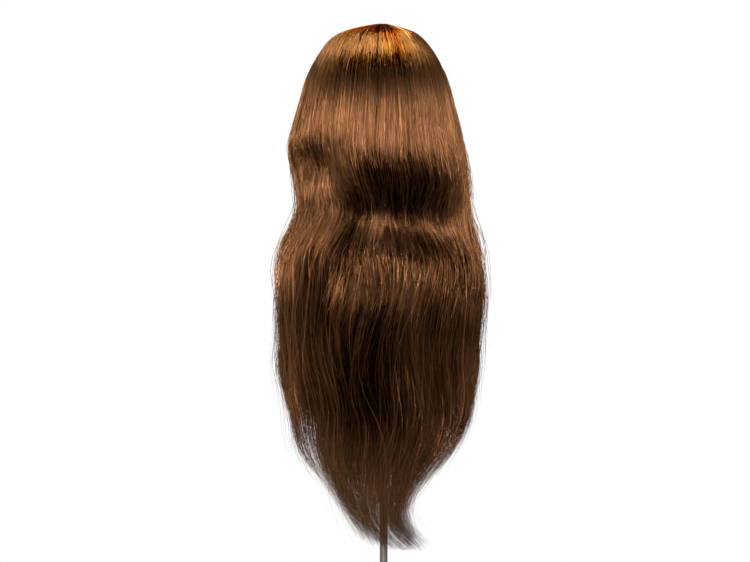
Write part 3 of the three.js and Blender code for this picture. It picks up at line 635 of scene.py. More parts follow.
def hair_mass():
    """A closed, ridged body just under the outer strands: outer face, inner face, and a thin lower end."""
    outer_count, inner_count, rows = 620, 160, 64  # points round each face, and rings down the mass
    run = np.linspace(0.004, 1, rows)[:, None] ** 0.9
    columns = outer_count + inner_count
    ragged = rng.uniform(-1, 1, columns) * 0.5 + np.sin(np.arange(columns) * 0.23) * 0.5
    across = np.concatenate([np.linspace(-1, 1, outer_count), np.linspace(1, -1, inner_count)])
    end = MASS_END - 0.14 * across**2
    end = (end + MASS_RAGGED * ragged)[None]
    s_all = run * end
    s, s_in = s_all[:, :outer_count], s_all[:, outer_count:]
    drop, drop_in = drop_along(s), drop_along(s_in)
    thin = smooth((drop - 0.36) / 0.16)
    thin_in = smooth((drop_in - 0.36) / 0.16)
    ridges = rng.normal(0, 1, outer_count)
    ridges = np.convolve(np.pad(ridges, 2, mode="edge"), [0.1, 0.25, 0.3, 0.25, 0.1], "valid")
    depth_out = (0.30 + 0.28 * thin) * thickness(drop) + 0.0011 * ridges[None] * smooth(s / 0.12)
    outer = mass_face(np.linspace(-1, 1, outer_count)[None], drop, depth_out)
    ridges_in = rng.normal(0, 1, inner_count)[None]
    depth_in = (1.0 - 0.35 * thin_in) * thickness(drop_in) + 0.0010 * ridges_in * smooth(s_in / 0.12)
    inner = mass_face(np.linspace(1, -1, inner_count)[None], drop_in, depth_in)
    first = np.arange(rows * columns).reshape(rows, columns)
    points = np.concatenate([outer, inner], 1).reshape(-1, 3)
    low, high = first[:-1], first[1:]
    walls = np.stack([low, high, np.roll(high, -1, 1), np.roll(low, -1, 1)], -1).reshape(-1, 4)
    points, ends = capped(points, first, flip_first=False)
    obj = mesh_object("hair_mass", points, [walls, *ends], [hair_mass_material()])
    uv = obj.data.uv_layers.new(name="along")
    u = np.concatenate([np.linspace(0, 1, outer_count), np.linspace(1, 1.3, inner_count)])
    v = s_all.mean(1)
    table = np.stack(np.meshgrid(u, v), -1).reshape(-1, 2)
    table = np.vstack([table, [0.5, v[0]], [0.5, v[-1]]])
    index = np.empty(len(obj.data.loops), np.int32)
    obj.data.loops.foreach_get("vertex_index", index)
    uv.data.foreach_set("uv", table[index].astype(np.float32).ravel())
    settle(obj, "hair_crown_left", "hair_crown_right", "hair_bend_nape", "hair_fall_middle")


def mass_face(rim, drop, depth):
    """One face of the mass, following the flow of the strands at each place round the head."""
    turn = rim * front_edge(drop) * (1 - 0.46 * smooth((drop - 0.31) / 0.20))
    shift = sum(wave.at(rim, drop) for wave in sideways)
    depth = depth + sum(each.at(rim, drop) for each in inwards + tucks)
    reach = np.maximum(side_reach(drop, turn), 0.02)
    return place(turn + shift / reach, drop + 0 * rim, depth)


# ------------------------------------------------------------------ finishes of the hard pieces


def finish_of(name, colour, roughness, metallic=0.0, grain=300.0, spread=0.08, bump=0.0, stretch=(1, 1, 1)):
    """A finish whose roughness, and relief if it has a bump, vary with a noise of the given fineness."""
    material, tree, principled = shader(name)
    coords = add_node(tree, "TexCoord")
    scale = add_node(tree, "Mapping", Scale=stretch)
    noise = add_node(tree, "TexNoise", Scale=grain, Detail=3)
    least, most = max(roughness - spread, 0.02), min(roughness + spread, 1.0)
    rough = add_node(tree, "MapRange", To_Min=least, To_Max=most)
    link(
        tree,
        ((coords, "Object"), (scale, "Vector")),
        ((scale, "Vector"), (noise, "Vector")),
        ((noise, "Fac"), (rough, "Value")),
        ((rough, "Result"), (principled, "Roughness")),
    )
    if bump:
        add_relief(tree, noise, principled, bump, 0.0004)
    set_inputs(principled, Base_Color=(*colour, 1), Metallic=metallic)
    return material


def add_relief(tree, noise, principled, strength, height):
    relief = add_node(tree, "Bump", Strength=strength, Distance=height)
    link(tree, ((noise, "Fac"), (relief, "Height")), ((relief, "Normal"), (principled, "Normal")))


def make_finishes():
    turned_marks = {"grain": 60, "stretch": (1, 1, 40)}
    kinds = {
        "plate_coat": ((0.018, 0.018, 0.020), 0.55, {"grain": 1600, "bump": 0.6}),
        "rubber": ((0.010, 0.010, 0.010), 0.85, {"grain": 900, "bump": 0.4}),
        "black_plastic": ((0.013, 0.013, 0.014), 0.42, {"grain": 1300, "bump": 0.25}),
        "plated_steel": ((0.30, 0.31, 0.32), 0.26, {"metallic": 1.0, **turned_marks}),
        "black_steel": ((0.055, 0.047, 0.040), 0.42, {"metallic": 0.90, **turned_marks}),
        "nylon": ((0.46, 0.45, 0.41), 0.50, {"grain": 500, "bump": 0.1}),
        "brass": ((0.62, 0.43, 0.17), 0.32, {"metallic": 1.0, "grain": 200}),
        "fibre": ((0.17, 0.045, 0.025), 0.75, {"grain": 1200, "bump": 0.5}),
        "foam": ((0.78, 0.69, 0.46), 0.9, {"grain": 700, "bump": 0.8}),
    }
    return {name: finish_of(name, colour, rough, **how) for name, (colour, rough, how) in kinds.items()}


# ------------------------------------------------------------------ hard pieces: turned, lobed and copied


def softened(outline, bevel):
    """Rounds the corners of an outline of (radius, distance) pairs; ends on the axis stay as they are."""
    corners = [np.array(p, float) for p in outline]
    count = len(corners)
    closed = corners[0][0] > 0 and corners[-1][0] > 0
    made = []
    for i, corner in enumerate(corners):
        if not closed and i in (0, count - 1):
            made.append(corner)
            continue
        before, after = corners[i - 1] - corner, corners[(i + 1) % count] - corner
        room = min(np.linalg.norm(before), np.linalg.norm(after))
        size = min(bevel, 0.4 * room)
        enter = corner + before / np.linalg.norm(before) * size
        leave = corner + after / np.linalg.norm(after) * size
        made.append(enter + (enter - corner) * 0.2)
        for t in np.linspace(0, 1, 5):
            made.append((1 - t) ** 2 * enter + 2 * t * (1 - t) * corner + t * t * leave)
        made.append(leave + (leave - corner) * 0.2)
    return np.array(made), closed


UPWARDS = (0, 0, 1)


def revolve(name, outline, material, origin=(0, 0, 0), axis=UPWARDS, bevel=0.6, segments=72, lobes=(0, 0.0)):
    """A turned piece: its outline is (radius, distance along the axis) in mm, going round the section once.

    lobes is how many lobes the rim has and how far they swell, as a share of the radius."""
    section, closed = softened(outline, bevel)
    turn = np.linspace(0, 2 * math.pi, segments, endpoint=False)
    swell = 1 + lobes[1] * np.cos(lobes[0] * turn)
    swell = 1 + (swell - 1) * np.clip(section[:, :1] / section[:, 0].max() * 1.6 - 0.6, 0, 1)
    radius = section[:, :1] * swell
    along = np.repeat(section[:, 1:], segments, 1)
    ring = np.stack([radius * np.cos(turn), radius * np.sin(turn), along], -1)
    rotation = Vector(UPWARDS).rotation_difference(Vector(axis)).to_matrix()
    points = ring.reshape(-1, 3) @ np.array(rotation).T * MM + np.array(origin) * MM
    first = np.arange(len(points)).reshape(len(section), segments)
    piece = mesh_object(name, points, rings_joined(first, closed), [material])
    weld(piece)
    return piece


def weld(piece):
    mesh = bmesh.new()
    mesh.from_mesh(piece.data)
    bmesh.ops.remove_doubles(mesh, verts=mesh.verts, dist=1e-6)
    bmesh.ops.dissolve_degenerate(mesh, edges=mesh.edges, dist=1e-7)
    bmesh.ops.recalc_face_normals(mesh, faces=mesh.faces)
    mesh.to_mesh(piece.data)
    mesh.free()


def joined(name, pieces):
    """One object from several meshes that belong to the same piece."""
    for piece in bpy.context.selected_objects:
        piece.select_set(False)
    for piece in pieces:
        piece.select_set(True)
    bpy.context.view_layer.objects.active = pieces[0]
    bpy.ops.object.join()
    pieces[0].name = name
    return pieces[0]


def eased(node, material, bevel):
    """A copy of a hard CAD solid with its edges eased and its curved faces shaded smooth."""
    piece = frame["nodes"][node].copy()
    piece.data = piece.data.copy()
    for key in list(piece.keys()):
        del piece[key]
    piece.parent = None
    piece.name = f"{node}_eased"
    bpy.context.collection.objects.link(piece)
    mesh = bmesh.new()
    mesh.from_mesh(piece.data)
    bmesh.ops.remove_doubles(mesh, verts=mesh.verts, dist=2e-5)
    bmesh.ops.dissolve_limit(mesh, angle_limit=math.radians(2), verts=mesh.verts, edges=mesh.edges)
    for face in mesh.faces:
        face.smooth = True
    sharp = [e for e in mesh.edges if len(e.link_faces) == 2 and e.calc_face_angle(0) > math.radians(40)]
    for edge in sharp:
        edge.smooth = False
    mesh.to_mesh(piece.data)
    mesh.free()
    piece.data.materials.clear()
    piece.data.materials.append(material)
    modifier = piece.modifiers.new("eased edges", "BEVEL")
    modifier.width = bevel * MM
    modifier.segments = 2
    modifier.limit_method = "ANGLE"
    modifier.angle_limit = math.radians(40)
    return piece


def stands_for(piece, node):
    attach(piece, frame["nodes"][node]["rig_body"])
    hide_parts(node)


BASE_R = 120.0
PLATE_BOTTOM, PLATE_TOP = 2.8, 14.8
FLANGE_BOTTOM = 15.1
BOLT_HOLE_R = 4.3
TUBE_R, TUBE_BORE_R = 8.0, 6.4
SOCKET_R = 8.3  # bore of the flange and the collar that hold the tube
ROD_R = 4.75
GROOVE = 487  # height of the rod's groove, in which the grub screw runs
TOWARDS_FACE = (0, -1, 0)


def top_of(node):
    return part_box(node)[1][2] / MM


def bottom_of(node):
    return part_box(node)[0][2] / MM


def turned(finishes, node, slot, outline, **how):
    """A turned piece that stands for a CAD node."""
    stands_for(revolve(f"{node}_turned", outline, finishes[slot], **how), node)


def tube_outline(inner, outer, bottom, top):
    return [(inner, bottom), (outer, bottom), (outer, top), (inner, top)]


def base_pieces(finishes):
    turned(finishes, "base_pad", "rubber", tube_outline(0, BASE_R - 3, 0, 2.5), segments=128)
    recess_r, recess_top = 7.1, PLATE_BOTTOM + 8  # for the bolt's head
    plate = [
        (recess_r, PLATE_BOTTOM), (BASE_R, PLATE_BOTTOM), (BASE_R, PLATE_TOP - 2.5), (BASE_R - 5, PLATE_TOP),
        (BOLT_HOLE_R, PLATE_TOP), (BOLT_HOLE_R, recess_top), (recess_r, recess_top),
    ]
    turned(finishes, "base_plate", "plate_coat", plate, bevel=1.2, segments=160)
    seat = FLANGE_BOTTOM + 3 - 0.3
    neck_top = FLANGE_BOTTOM + 29
    flange = [
        (BOLT_HOLE_R, FLANGE_BOTTOM), (26, FLANGE_BOTTOM), (26, FLANGE_BOTTOM + 4),
        (14, FLANGE_BOTTOM + 7.5), (11.5, FLANGE_BOTTOM + 12), (11.5, neck_top), (SOCKET_R, neck_top),
        (SOCKET_R, seat), (BOLT_HOLE_R, seat),
    ]
    turned(finishes, "tube_flange", "black_plastic", flange, bevel=1.0, segments=96)


def clamp_collar(finishes, tube_top, knob_z):
    """The collar with its boss for the knob's stud and two grip ribs."""
    plastic = finishes["black_plastic"]
    bottom, top = bottom_of("clamp_collar"), top_of("clamp_collar")
    body = [
        (SOCKET_R, bottom), (13, bottom), (13, top - 2), (11, top), (8, top), (8, tube_top + 0.3),
        (SOCKET_R, tube_top + 0.3),
    ]
    ring = revolve("clamp_collar_turned", body, plastic, bevel=0.8)
    boss_outline = tube_outline(3.3, 6.2, 9, 22)
    boss = revolve("clamp_boss", boss_outline, plastic, origin=(0, 0, knob_z), axis=TOWARDS_FACE, bevel=0.6)
    ribs = [
        revolve(f"clamp_rib_{i + 1}", tube_outline(12.2, 13.6, z, z + 1.6), plastic, bevel=0.5)
        for i, z in enumerate((bottom + 2, bottom + 6))
    ]
    stands_for(joined("clamp_collar_turned", [ring, boss, *ribs]), "clamp_collar")


def column_pieces(finishes):
    tube_top = top_of("lower_tube")
    tube = tube_outline(TUBE_BORE_R, TUBE_R, bottom_of("lower_tube"), tube_top)
    turned(finishes, "lower_tube", "black_steel", tube, bevel=0.4)
    knob_z = (bottom_of("knob_stud") + top_of("knob_stud")) / 2
    clamp_collar(finishes, tube_top, knob_z)
    bush = tube_outline(ROD_R + 0.3, 7.7, tube_top + 0.6, top_of("clamp_collar") - 0.5)
    turned(finishes, "guide_bush", "nylon", bush, bevel=0.4)
    on_knob_axis = {"origin": (0, 0, knob_z), "axis": TOWARDS_FACE}
    knob = [
        (3.3, 23), (7, 23), (7, 26), (14.5, 26.5), (15.3, 29), (15.3, 34), (13.5, 37.5), (7.5, 38),
        (5.5, 36.6), (3.3, 36.6),
    ]
    star = {"bevel": 1.0, "segments": 120, "lobes": (5, 0.15)}
    turned(finishes, "height_knob", "black_plastic", knob, **on_knob_axis, **star)
    stud = [(0, 8), (2.6, 8), (3, 8.6), (3, 31.5), (2.6, 32), (0, 32)]
    turned(finishes, "knob_stud", "plated_steel", stud, **on_knob_axis, bevel=0.3)
    low, high = bottom_of("rod"), top_of("rod")
    groove_r = ROD_R - 1.2
    rod = [
        (0, low), (ROD_R, low), (ROD_R, GROOVE - 2.2), (groove_r, GROOVE - 1.6), (groove_r, GROOVE + 1.6),
        (ROD_R, GROOVE + 2.2), (ROD_R, high), (0, high),
    ]
    turned(finishes, "rod", "black_steel", rod, bevel=0.5)
    stop = tube_outline(ROD_R + 0.2, 9, bottom_of("stop_collar"), top_of("stop_collar"))
    turned(finishes, "stop_collar", "black_steel", stop, bevel=0.6)


def head_mount_pieces(finishes):
    slope = 3 / 61  # the peg's taper, mm of radius per mm of height
    low, high = bottom_of("peg"), top_of("peg")
    peg = [
        (2.8, low), (15, low), (15 - slope * (high - low), high - 2), (10, high), (5.6, high),
        (5.6, high - 12), (2.8, high - 12),
    ]
    turned(finishes, "peg", "black_plastic", peg, bevel=0.7)


# CAD solids that keep their form, with how far their edges are eased in mm and the finish of each.
EASED = {
    "tilt_yoke": (0.7, "black_plastic"),
    "tilt_tongue": (0.6, "black_plastic"),
    "tilt_lever": (0.5, "black_plastic"),
    "lever_grip": (0.6, "rubber"),
    "tilt_bolt": (0.4, "plated_steel"),
    "tilt_washer": (0.2, "plated_steel"),
    "friction_washer_left": (0.15, "fibre"),
    "friction_washer_right": (0.15, "fibre"),
    "swivel_washer": (0.2, "nylon"),
    "neck_plate": (0.5, "black_plastic"),
    "neck_socket": (0.5, "nylon"),
}
# Solids that are inside others or too small to ease.
KEPT = {
    "base_bolt": "plated_steel",
    "tube_end_plug": "plated_steel",
    "pressure_pad": "brass",
    "rod_foot": "nylon",
    "stop_collar_screw": "plated_steel",
    "yoke_grub_screw": "plated_steel",
    "peg_screw": "plated_steel",
    "neck_plate_screw_1": "plated_steel",
    "neck_plate_screw_2": "plated_steel",
    "neck_plate_screw_3": "plated_steel",
}


def make_stand(finishes):
    base_pieces(finishes)
    column_pieces(finishes)
    head_mount_pieces(finishes)
    for node, (bevel, slot) in EASED.items():
        stands_for(eased(node, finishes[slot], bevel), node)
    for node, slot in KEPT.items():
        mesh = frame["nodes"][node].data
        mesh.materials.clear()
        mesh.materials.append(finishes[slot])


# ------------------------------------------------------------------ head form

# The head is a smooth union of plain masses, in mm, with heights above the chin; a pair is mirrored in x.
CHIN = 620.0
NECK_BASE = 561.0
EYE = np.array([31.5, -84.0, 105.0])
EYE_R = 11.5
LID_HALF = 13.6  # half the width between the corners of the lids


def ball(at, radii, blend, pair=False, carve=False):
    return {"at": at, "radii": radii, "blend": blend, "pair": pair, "carve": carve}


def limb(start, end, r1, r2, blend, pair=False, carve=False):
    return {"from": start, "to": end, "r1": r1, "r2": r2, "blend": blend, "pair": pair, "carve": carve}


MASSES = [
    ball((0, -4, 135), (75, 91, 80), 1),  # cranium
    limb((0, 5, -90), (0, 8, 62), 51, 49, 22),  # neck
    ball((0, 5, -66), (57, 57, 22), 14),  # flare at the neck's base
    ball((0, -42, 116), (58, 61, 52), 18),  # forehead
    ball((0, -36, 64), (57, 55, 62), 22),  # face
    ball((30, -32, 36), (24, 38, 27), 24, pair=True),  # jaw
    ball((0, -77, 15), (20, 18, 15), 16),  # chin
    ball((39, -64, 85), (19, 24, 18), 24, pair=True),  # cheekbone
    ball((32, -108, 104), (17, 14, 11), 12, pair=True, carve=True),  # eye socket
    limb((12, -95, 120), (44, -84, 121), 6, 5, 12, pair=True),  # brow
    ball(tuple(EYE), (14, 13.5, 12.5), 4, pair=True),  # lids over the eye
    limb((0, -96, 108), (0, -111, 74), 6.5, 8, 9),  # nose bridge
    ball((0, -112, 70), (9.5, 10, 8.5), 7),  # nose tip
    ball((11, -101, 66), (6.5, 10, 7), 6, pair=True),  # nostril wings
    ball((5.4, -106, 60.5), (3.0, 5.5, 3.4), 2, pair=True, carve=True),  # nostrils
    ball((0, -90, 45.5), (24, 8, 5.5), 6),  # upper lip
    ball((0, -89, 36), (20, 9, 6.5), 6),  # lower lip
    ball((7, -95, 46), (7, 4.5, 4), 4, pair=True),  # fullness of the upper lip
    ball((0, -95, 36.5), (11, 5, 4.6), 4),  # fullness of the lower lip
    limb((0, -100, 49), (0, -101, 57), 2.2, 1.6, 3, carve=True),  # groove above the lip
    ball((76, 6, 92), (5, 17, 31), 5, pair=True),  # ear
    limb((74, 0, 72), (63, -8, 52), 5.5, 4, 9, pair=True),  # lobe of the ear
    ball((83, 2, 92), (5, 9, 17), 3, pair=True, carve=True),  # bowl of the ear
]


def to_mass(mass, x, y, z):
    """Distance, roughly, from points to one mass."""
    if "radii" in mass:
        (ax, ay, az), (rx, ry, rz) = mass["at"], mass["radii"]
        dx, dy, dz = x - ax, y - ay, z - az
        near = np.sqrt((dx / rx) ** 2 + (dy / ry) ** 2 + (dz / rz) ** 2)
        steep = np.sqrt((dx / rx**2) ** 2 + (dy / ry**2) ** 2 + (dz / rz**2) ** 2)
        return near * (near - 1) / np.maximum(steep, 1e-6)
    a, b = np.array(mass["from"], float), np.array(mass["to"], float)
    along = b - a
    t = ((x - a[0]) * along[0] + (y - a[1]) * along[1] + (z - a[2]) * along[2]) / (along @ along)
    t = np.clip(t, 0, 1)
    dx, dy, dz = x - a[0] - t * along[0], y - a[1] - t * along[1], z - a[2] - t * along[2]
    return np.sqrt(dx**2 + dy**2 + dz**2) - (mass["r1"] + t * (mass["r2"] - mass["r1"]))


def blended(a, b, k):
    h = np.maximum(k - np.abs(a - b), 0) / k
    return np.minimum(a, b) - h * h * k / 4


def lid_edge(u, upper):
    """Height of a lid's edge from the eye's middle; u runs from -1 at the inner corner to 1 at the outer."""
    room = 1 - np.clip(u * u, 0, 1)
    return (4.9 * room**0.62 if upper else -3.5 * room**0.75) + 0.5 * u


def lid_gap(x, z):
    """Negative inside the almond between the lids, seen from the front; about mm."""
    u = (np.abs(x) - EYE[0]) / LID_HALF
    above = (z - EYE[2]) - lid_edge(u, upper=True)
    below = lid_edge(u, upper=False) - (z - EYE[2])
    return np.maximum(np.maximum(above, below), (np.abs(u) - 1) * 8)


def lip_line(x):
    return 41.2 + 0.0022 * x * x - 0.9 * np.exp(-((x / 4.5) ** 2))


def to_head(x, y, z):
    """Distance, roughly, from points to the head's surface; z is above the chin."""
    d = None
    for mass in MASSES:
        one = to_mass(mass, np.abs(x) if mass["pair"] else x, y, z)
        if d is None:
            d = one
        elif mass["carve"]:
            d = -blended(-d, one, mass["blend"])
        else:
            d = blended(d, one, mass["blend"])
    front = y < -60
    mouth = 1.7 * np.exp(-(((z - lip_line(x)) / 1.0) ** 2)) * smooth((27 - np.abs(x)) / 8)
    side = np.abs(x) - EYE[0]
    over_lid = np.exp(-(((z - EYE[2] - 9.6 + 0.028 * side**2) / 1.1) ** 2))
    crease = over_lid * smooth((15 - np.abs(side)) / 6)
    d = d + np.where(front, mouth + crease, 0)
    opening = np.maximum(lid_gap(x, z), y - (EYE[1] - 3))
    return -blended(-d, opening, 1.2)


def head_surface(z, turn, lift, offset=0.0):
    """Points of the head along rays from the middle of the skull or neck."""
    out_x, out_y, out_z = np.cos(turn) * np.cos(lift), np.sin(turn) * np.cos(lift), np.sin(lift)
    near, far = np.full(z.shape, 4.0), np.full(z.shape, 140.0)
    reach = far.copy()
    for _ in range(70):
        d = to_head(out_x * reach, -6 + out_y * reach, z + out_z * reach) - offset
        reach = np.clip(reach - np.clip(d * 0.6, -0.5, 3.0), near, far)
    return np.stack([out_x * reach, -6 + out_y * reach, CHIN + z + out_z * reach], -1) * MM


def spaced(*stretches):
    """Positions from stretches of (start, end, step)."""
    parts = [np.arange(start, end, step) for start, end, step in stretches]
    return np.concatenate([*parts, [stretches[-1][1]]])


SKULL_MIDDLE = 120.0  # above the chin; rays fan out over the crown from this height
FOAM_DEPTH = 5.0  # the core's surface below the skin's


def lofted_form(name, rings, material):
    """A closed body from rings of points, one above the other, with its ends fanned shut."""
    first = np.arange(rings.shape[0] * rings.shape[1]).reshape(rings.shape[:2])
    points, fans = capped(rings.reshape(-1, 3), first, flip_first=True)
    return mesh_object(name, points, [rings_joined(first), *fans], [material]), points


def head_rings(levels, turns, rises, offset=0.0):
    shape = (len(levels), len(turns))
    columns = (levels[:, None], turns[None], rises[:, None])
    grid = [np.broadcast_to(np.asarray(column, float), shape).copy() for column in columns]
    return head_surface(*grid, offset)


def foam_core(finishes):
    """The rigid core under the skin, open below for the socket's sleeve."""
    turns = np.linspace(0, 2 * math.pi, 96, endpoint=False)
    straight = np.linspace(NECK_BASE + 4 - CHIN, SKULL_MIDDLE, 60)
    levels = np.concatenate([straight, np.full(20, SKULL_MIDDLE)])
    rises = np.radians(np.concatenate([np.zeros(60), np.linspace(0, 88, 20)]))
    outer = head_rings(levels, turns, rises, -FOAM_DEPTH)
    hole = np.stack([np.cos(turns), np.sin(turns), 0 * turns], -1) * 20.5 * MM
    sleeve = [hole + [0, 0, z * MM] for z in (CHIN + 6, NECK_BASE + 4)]
    core, _ = lofted_form("foam_core_form", np.concatenate([np.stack(sleeve), outer]), finishes["foam"])
    stands_for(core, "foam_core")


def head_skin():
    quarter = spaced((0, 58, 0.42), (58, 100, 1.2), (100, 180, 4.0))
    turn = np.radians(np.concatenate([-90 - quarter[::-1], (-90 + quarter)[1:-1]]))
    neck, chin, mouth, nose, lids = NECK_BASE - CHIN, 0, 30, 52, 92
    neck_and_face = spaced(
        (neck, chin, 2.5), (chin, mouth, 1.2), (mouth, nose, 0.55), (nose, lids, 0.9), (lids, 118, 0.5)
    )
    level = np.concatenate([neck_and_face, np.full(26, SKULL_MIDDLE)])
    rise = np.radians(np.concatenate([np.zeros(len(neck_and_face)), np.linspace(0, 88, 26)]))
    outer = head_rings(level, turn, rise)
    lip = outer[0] * [0.84, 0.84, 1] + [0, 0.0008, 0]
    rings = np.concatenate([np.stack([lip + [0, 0, 0.003], lip]), outer])
    skin, points = lofted_form("head_skin_form", rings, skin_material())
    paint(skin, skin_colours(points / MM - [0, 0, CHIN]))
    stands_for(skin, "head_skin")


SKIN = np.array([0.63, 0.36, 0.25])
LIP = np.array([0.50, 0.135, 0.11])
BLUSH = np.array([0.66, 0.25, 0.18])
# a painted shade colour: on the upper lids, along their edges and, darker, in the nostrils
LID_SHADE = np.array([0.36, 0.17, 0.11])


def skin_colours(points):
    """Colour of the vinyl at points in mm, with heights above the chin: skin, blush and lips, with painted
    shade in the lips' crease, on the lids and in the nostrils.
    """
    x, y, z = points.T
    side = np.abs(x)
    front = smooth((-70 - y) / 12)
    colour = np.tile(SKIN, (len(points), 1))

    def tint(colour, towards, share):
        share = np.clip(share, 0, 1)[:, None]
        return colour * (1 - share) + towards * share

    cheek = np.exp(-(((side - 40) / 15) ** 2) - ((z - 70) / 14) ** 2)
    colour = tint(colour, BLUSH, 0.35 * cheek * smooth((-45 - y) / 20))
    half_width = np.clip(1 - (side / 23.5) ** 2, 0, 1)
    bow = 51.2 - 1.3 * np.exp(-((side / 3) ** 2)) + 0.9 * np.exp(-(((side - 5) / 3) ** 2))
    top = lip_line(x) + (bow - 41.2) * half_width**0.75
    bottom = lip_line(x) - 10.4 * half_width**0.62
    inside = smooth((top - z) / 0.9 + 0.5) * smooth((z - bottom) / 0.9 + 0.5) * (side < 23.5)
    colour = tint(colour, LIP, inside * front)
    # painted shade in the crease between the lips
    lip_crease_shade = np.exp(-(((z - lip_line(x)) / 0.9) ** 2)) * smooth((25 - side) / 4)
    colour = tint(colour, LIP * 0.35, 0.8 * lip_crease_shade * front)
    # painted shade along the edge of the upper lid, where it meets the eye
    rim = np.exp(-((lid_gap(x, z) / 0.9) ** 2)) * (z > EYE[2])
    colour = tint(colour, LID_SHADE * 0.35, 0.85 * rim * front)
    # painted shade on the upper lid, under the brow
    lid = np.exp(-(((side - EYE[0]) / 13) ** 2) - ((z - EYE[2] - 8) / 4.5) ** 2)
    colour = tint(colour, LID_SHADE, 0.45 * lid * front)
    # painted shade in the nostrils
    nostril = np.exp(-(((side - 5.4) / 3) ** 2) - ((z - 60.5) / 2.6) ** 2 - ((y + 105) / 6) ** 2)
    return tint(colour, LID_SHADE * 0.3, 0.9 * nostril)


def paint(piece, colours):
    layer = piece.data.color_attributes.new("tint", "FLOAT_COLOR", "POINT")
    rgba = np.ones((len(piece.data.vertices), 4), np.float32)
    rgba[:, :3] = colours
    layer.data.foreach_set("color", rgba.ravel())


def tinted(name, fineness, darkest, lightest):
    """A shader whose colour is the painted tint, mottled between two strengths by a noise."""
    material, tree, principled = shader(name)
    tint = add_node(tree, "VertexColor")
    tint.layer_name = "tint"
    coords = add_node(tree, "TexCoord")
    mottle = add_node(tree, "TexNoise", Scale=fineness)
    shade = add_node(tree, "MapRange", To_Min=darkest, To_Max=lightest)
    mix = add_node(tree, "VectorMath")
    mix.operation = "SCALE"
    link(
        tree,
        ((coords, "Object"), (mottle, "Vector")),
        ((mottle, "Fac"), (shade, "Value")),
        ((tint, "Color"), (mix, 0)),
        ((shade, "Result"), (mix, "Scale")),
        ((mix, "Vector"), (principled, "Base Color")),
    )
    return material, tree, principled, coords


def skin_material():
    """Soft vinyl: painted tints, a faint mottle and fine pores."""
    material, tree, principled, coords = tinted("vinyl_skin", 60, 0.94, 1.05)
    pores = add_node(tree, "TexNoise", Scale=1500)
    link(tree, ((coords, "Object"), (pores, "Vector")))
    add_relief(tree, pores, principled, 0.15, 0.0002)
    radius = (0.004, 0.002, 0.001)
    set_inputs(principled, Roughness=0.42, Subsurface_Weight=0.12, Subsurface_Radius=radius)
    return material


# ------------------------------------------------------------------ eyes, brows and lashes


def eye_colours(points, centre):
    """Painted eye: white, a brown iris with a dark edge, and the pupil, round the forward axis."""
    x, y, z = (points - centre).T
    off = np.degrees(np.arctan2(np.hypot(x, z), -y))
    fleck = 0.12 * np.sin(np.arctan2(z, x) * 37) * np.sin(np.arctan2(z, x) * 11 + 1)
    white = np.array([0.80, 0.76, 0.72])
    iris = np.array([0.12, 0.055, 0.022])
    colour = np.tile(white, (len(points), 1))
    inside = smooth((31 - off) / 2)[:, None]
    ring = iris * (1.5 + fleck[:, None]) * (1 - 0.75 * smooth((off[:, None] - 23) / 7))
    colour = colour * (1 - inside) + ring * inside
    pupil = smooth((12.5 - off) / 1.5)[:, None]
    return colour * (1 - pupil) + 0.004 * pupil


def eye_material():
    material, _, principled, _ = tinted("painted_eye", 400, 0.95, 1.04)
    set_inputs(principled, Roughness=0.08, Coat_Weight=0.6)
    return material


def eyes():
    material = eye_material()
    for side, node in ((1, "eye_left"), (-1, "eye_right")):
        centre = (EYE * [side, 1, 1] + [0, 0, CHIN]) * MM
        turn = np.linspace(0, 2 * math.pi, 96, endpoint=False)[None]
        tip = np.radians(np.linspace(0.4, 179.6, 90))[:, None]
        bulge = 1 + 0.035 * smooth((math.radians(36) - tip) / math.radians(14))  # the cornea
        reach = EYE_R * 0.985 * MM * bulge
        x, y, z = np.sin(tip) * np.cos(turn), -np.cos(tip) + 0 * turn, np.sin(tip) * np.sin(turn)
        ring = np.stack([x, y, z], -1) * reach[..., None]
        points = ring.reshape(-1, 3) + centre
        first = np.arange(len(points)).reshape(ring.shape[:2])
        faces = [rings_joined(first), first[0][None, ::-1], first[-1][None]]
        eye = mesh_object(f"{node}_painted", points, faces, [material])
        eye_points = np.array([v.co for v in eye.data.vertices])
        paint(eye, eye_colours(eye_points, centre))
        stands_for(eye, node)


def on_face(x, z):
    """Points of the head's front at x and z (above the chin), in metres, found by turning rays towards x."""
    turn = np.full(x.shape, -math.pi / 2) + np.arctan2(x, 85.0)
    for _ in range(6):
        found = head_surface(z.copy(), turn, np.zeros_like(x)) / MM
        turn = turn + (x - found[..., 0]) / 95.0
    return found * MM


def face_hair(name, roots, ends, radius, bow, material):
    """Short tapering hairs from roots to ends, bowed outwards."""
    steps = 7
    t = np.linspace(0, 1, steps)
    paths = roots[:, None] * (1 - t)[None, :, None] + ends[:, None] * t[None, :, None]
    paths = paths + bow[:, None] * (4 * t * (1 - t))[None, :, None]
    radii = radius * (1 - 0.8 * t)[None] * np.ones((len(roots), 1))
    shades = np.zeros((len(roots), steps - 1))
    hairs = strand_tubes(name, paths, radii, shades, [material])
    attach(hairs, "head")


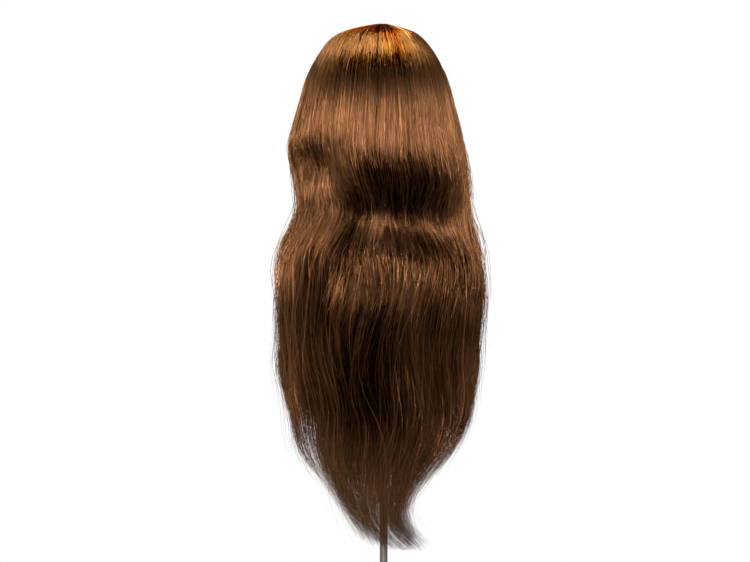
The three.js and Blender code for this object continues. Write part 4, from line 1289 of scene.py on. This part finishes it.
def brows(material):
    count = 420
    along = rng.random(count)
    side = np.where(rng.random(count) < 0.5, 1, -1)
    x = 12 + 33 * along
    arch = 118.5 + 7.5 * np.sin(np.pi * (0.15 + 0.62 * along)) - 3.5 * along**2
    half = 2.6 * (1 - 0.75 * along)
    z = arch + rng.uniform(-1, 1, count) * half
    length = rng.uniform(4.5, 7.5, count)
    heading = np.radians(62 - 70 * along + rng.normal(0, 8, count))
    root = on_face(side * x, z)
    end = on_face(side * (x + length * np.cos(heading)), z + length * np.sin(heading) * 0.7)
    away = np.tile([0.0, -1.0, 0.0], (count, 1))
    root, end = root + away * 0.0001, end + away * 0.0005
    face_hair("brows", root, end, 0.00011, away * 0.0005, material)


def lashes(material):
    roots, ends, bows = [], [], []
    for mirror in (1, -1):
        for upper in (True, False):
            u = np.linspace(-0.86, 0.96, 46 if upper else 30)
            rim = lid_edge(u, upper)
            lash_x, lash_z = EYE[0] + LID_HALF * u, EYE[2] + rim
            reach_out = np.sqrt(np.maximum(13.2**2 - (LID_HALF * u) ** 2 * 0.75 - rim**2, 20))
            start = np.stack([mirror * lash_x, EYE[1] - reach_out, lash_z + CHIN], -1)
            lengths = (7.5 if upper else 4.0) * (0.7 + 0.3 * np.sin(np.pi * (u + 1) / 2))
            rise = 0.62 if upper else -0.55
            out = np.stack([mirror * 0.45 * u, np.full(len(u), -0.85), np.full(len(u), rise)], -1)
            roots.append(start)
            ends.append(start + out * lengths[:, None])
            bows.append(np.tile([0, -0.6, -1.2 if upper else 0.5], (len(u), 1)))
    roots, ends, bows = (np.concatenate(group) * MM for group in (roots, ends, bows))
    face_hair("lashes", roots, ends, 0.00012, bows, material)


# ------------------------------------------------------------------ put together

make_camera()
make_studio()
shades_of_hair = strand_materials()
hair_mass()
for section, low, high, nodes in HAIR_SECTIONS:
    cuts = np.linspace(low, high, PIECES_PER_SECTION + 1)
    for part, (a, b) in enumerate(zip(cuts, cuts[1:])):
        hair_section(f"hair_{section}_{part + 1}", a, b, STRANDS_PER_PIECE, nodes, shades_of_hair)
for side, low, high in (("right", -0.78, -0.57), ("left", 0.57, 0.78)):
    nodes = [f"hair_front_{side}", f"hair_crown_{side}"]
    hair_section(f"hair_whorl_{side}", low, high, STRANDS_PER_PIECE, nodes, shades_of_hair, cover_roots=True)

finishes = make_finishes()
make_stand(finishes)
foam_core(finishes)
head_skin()
eyes()
brows(shades_of_hair[2])
lashes(shades_of_hair[2])
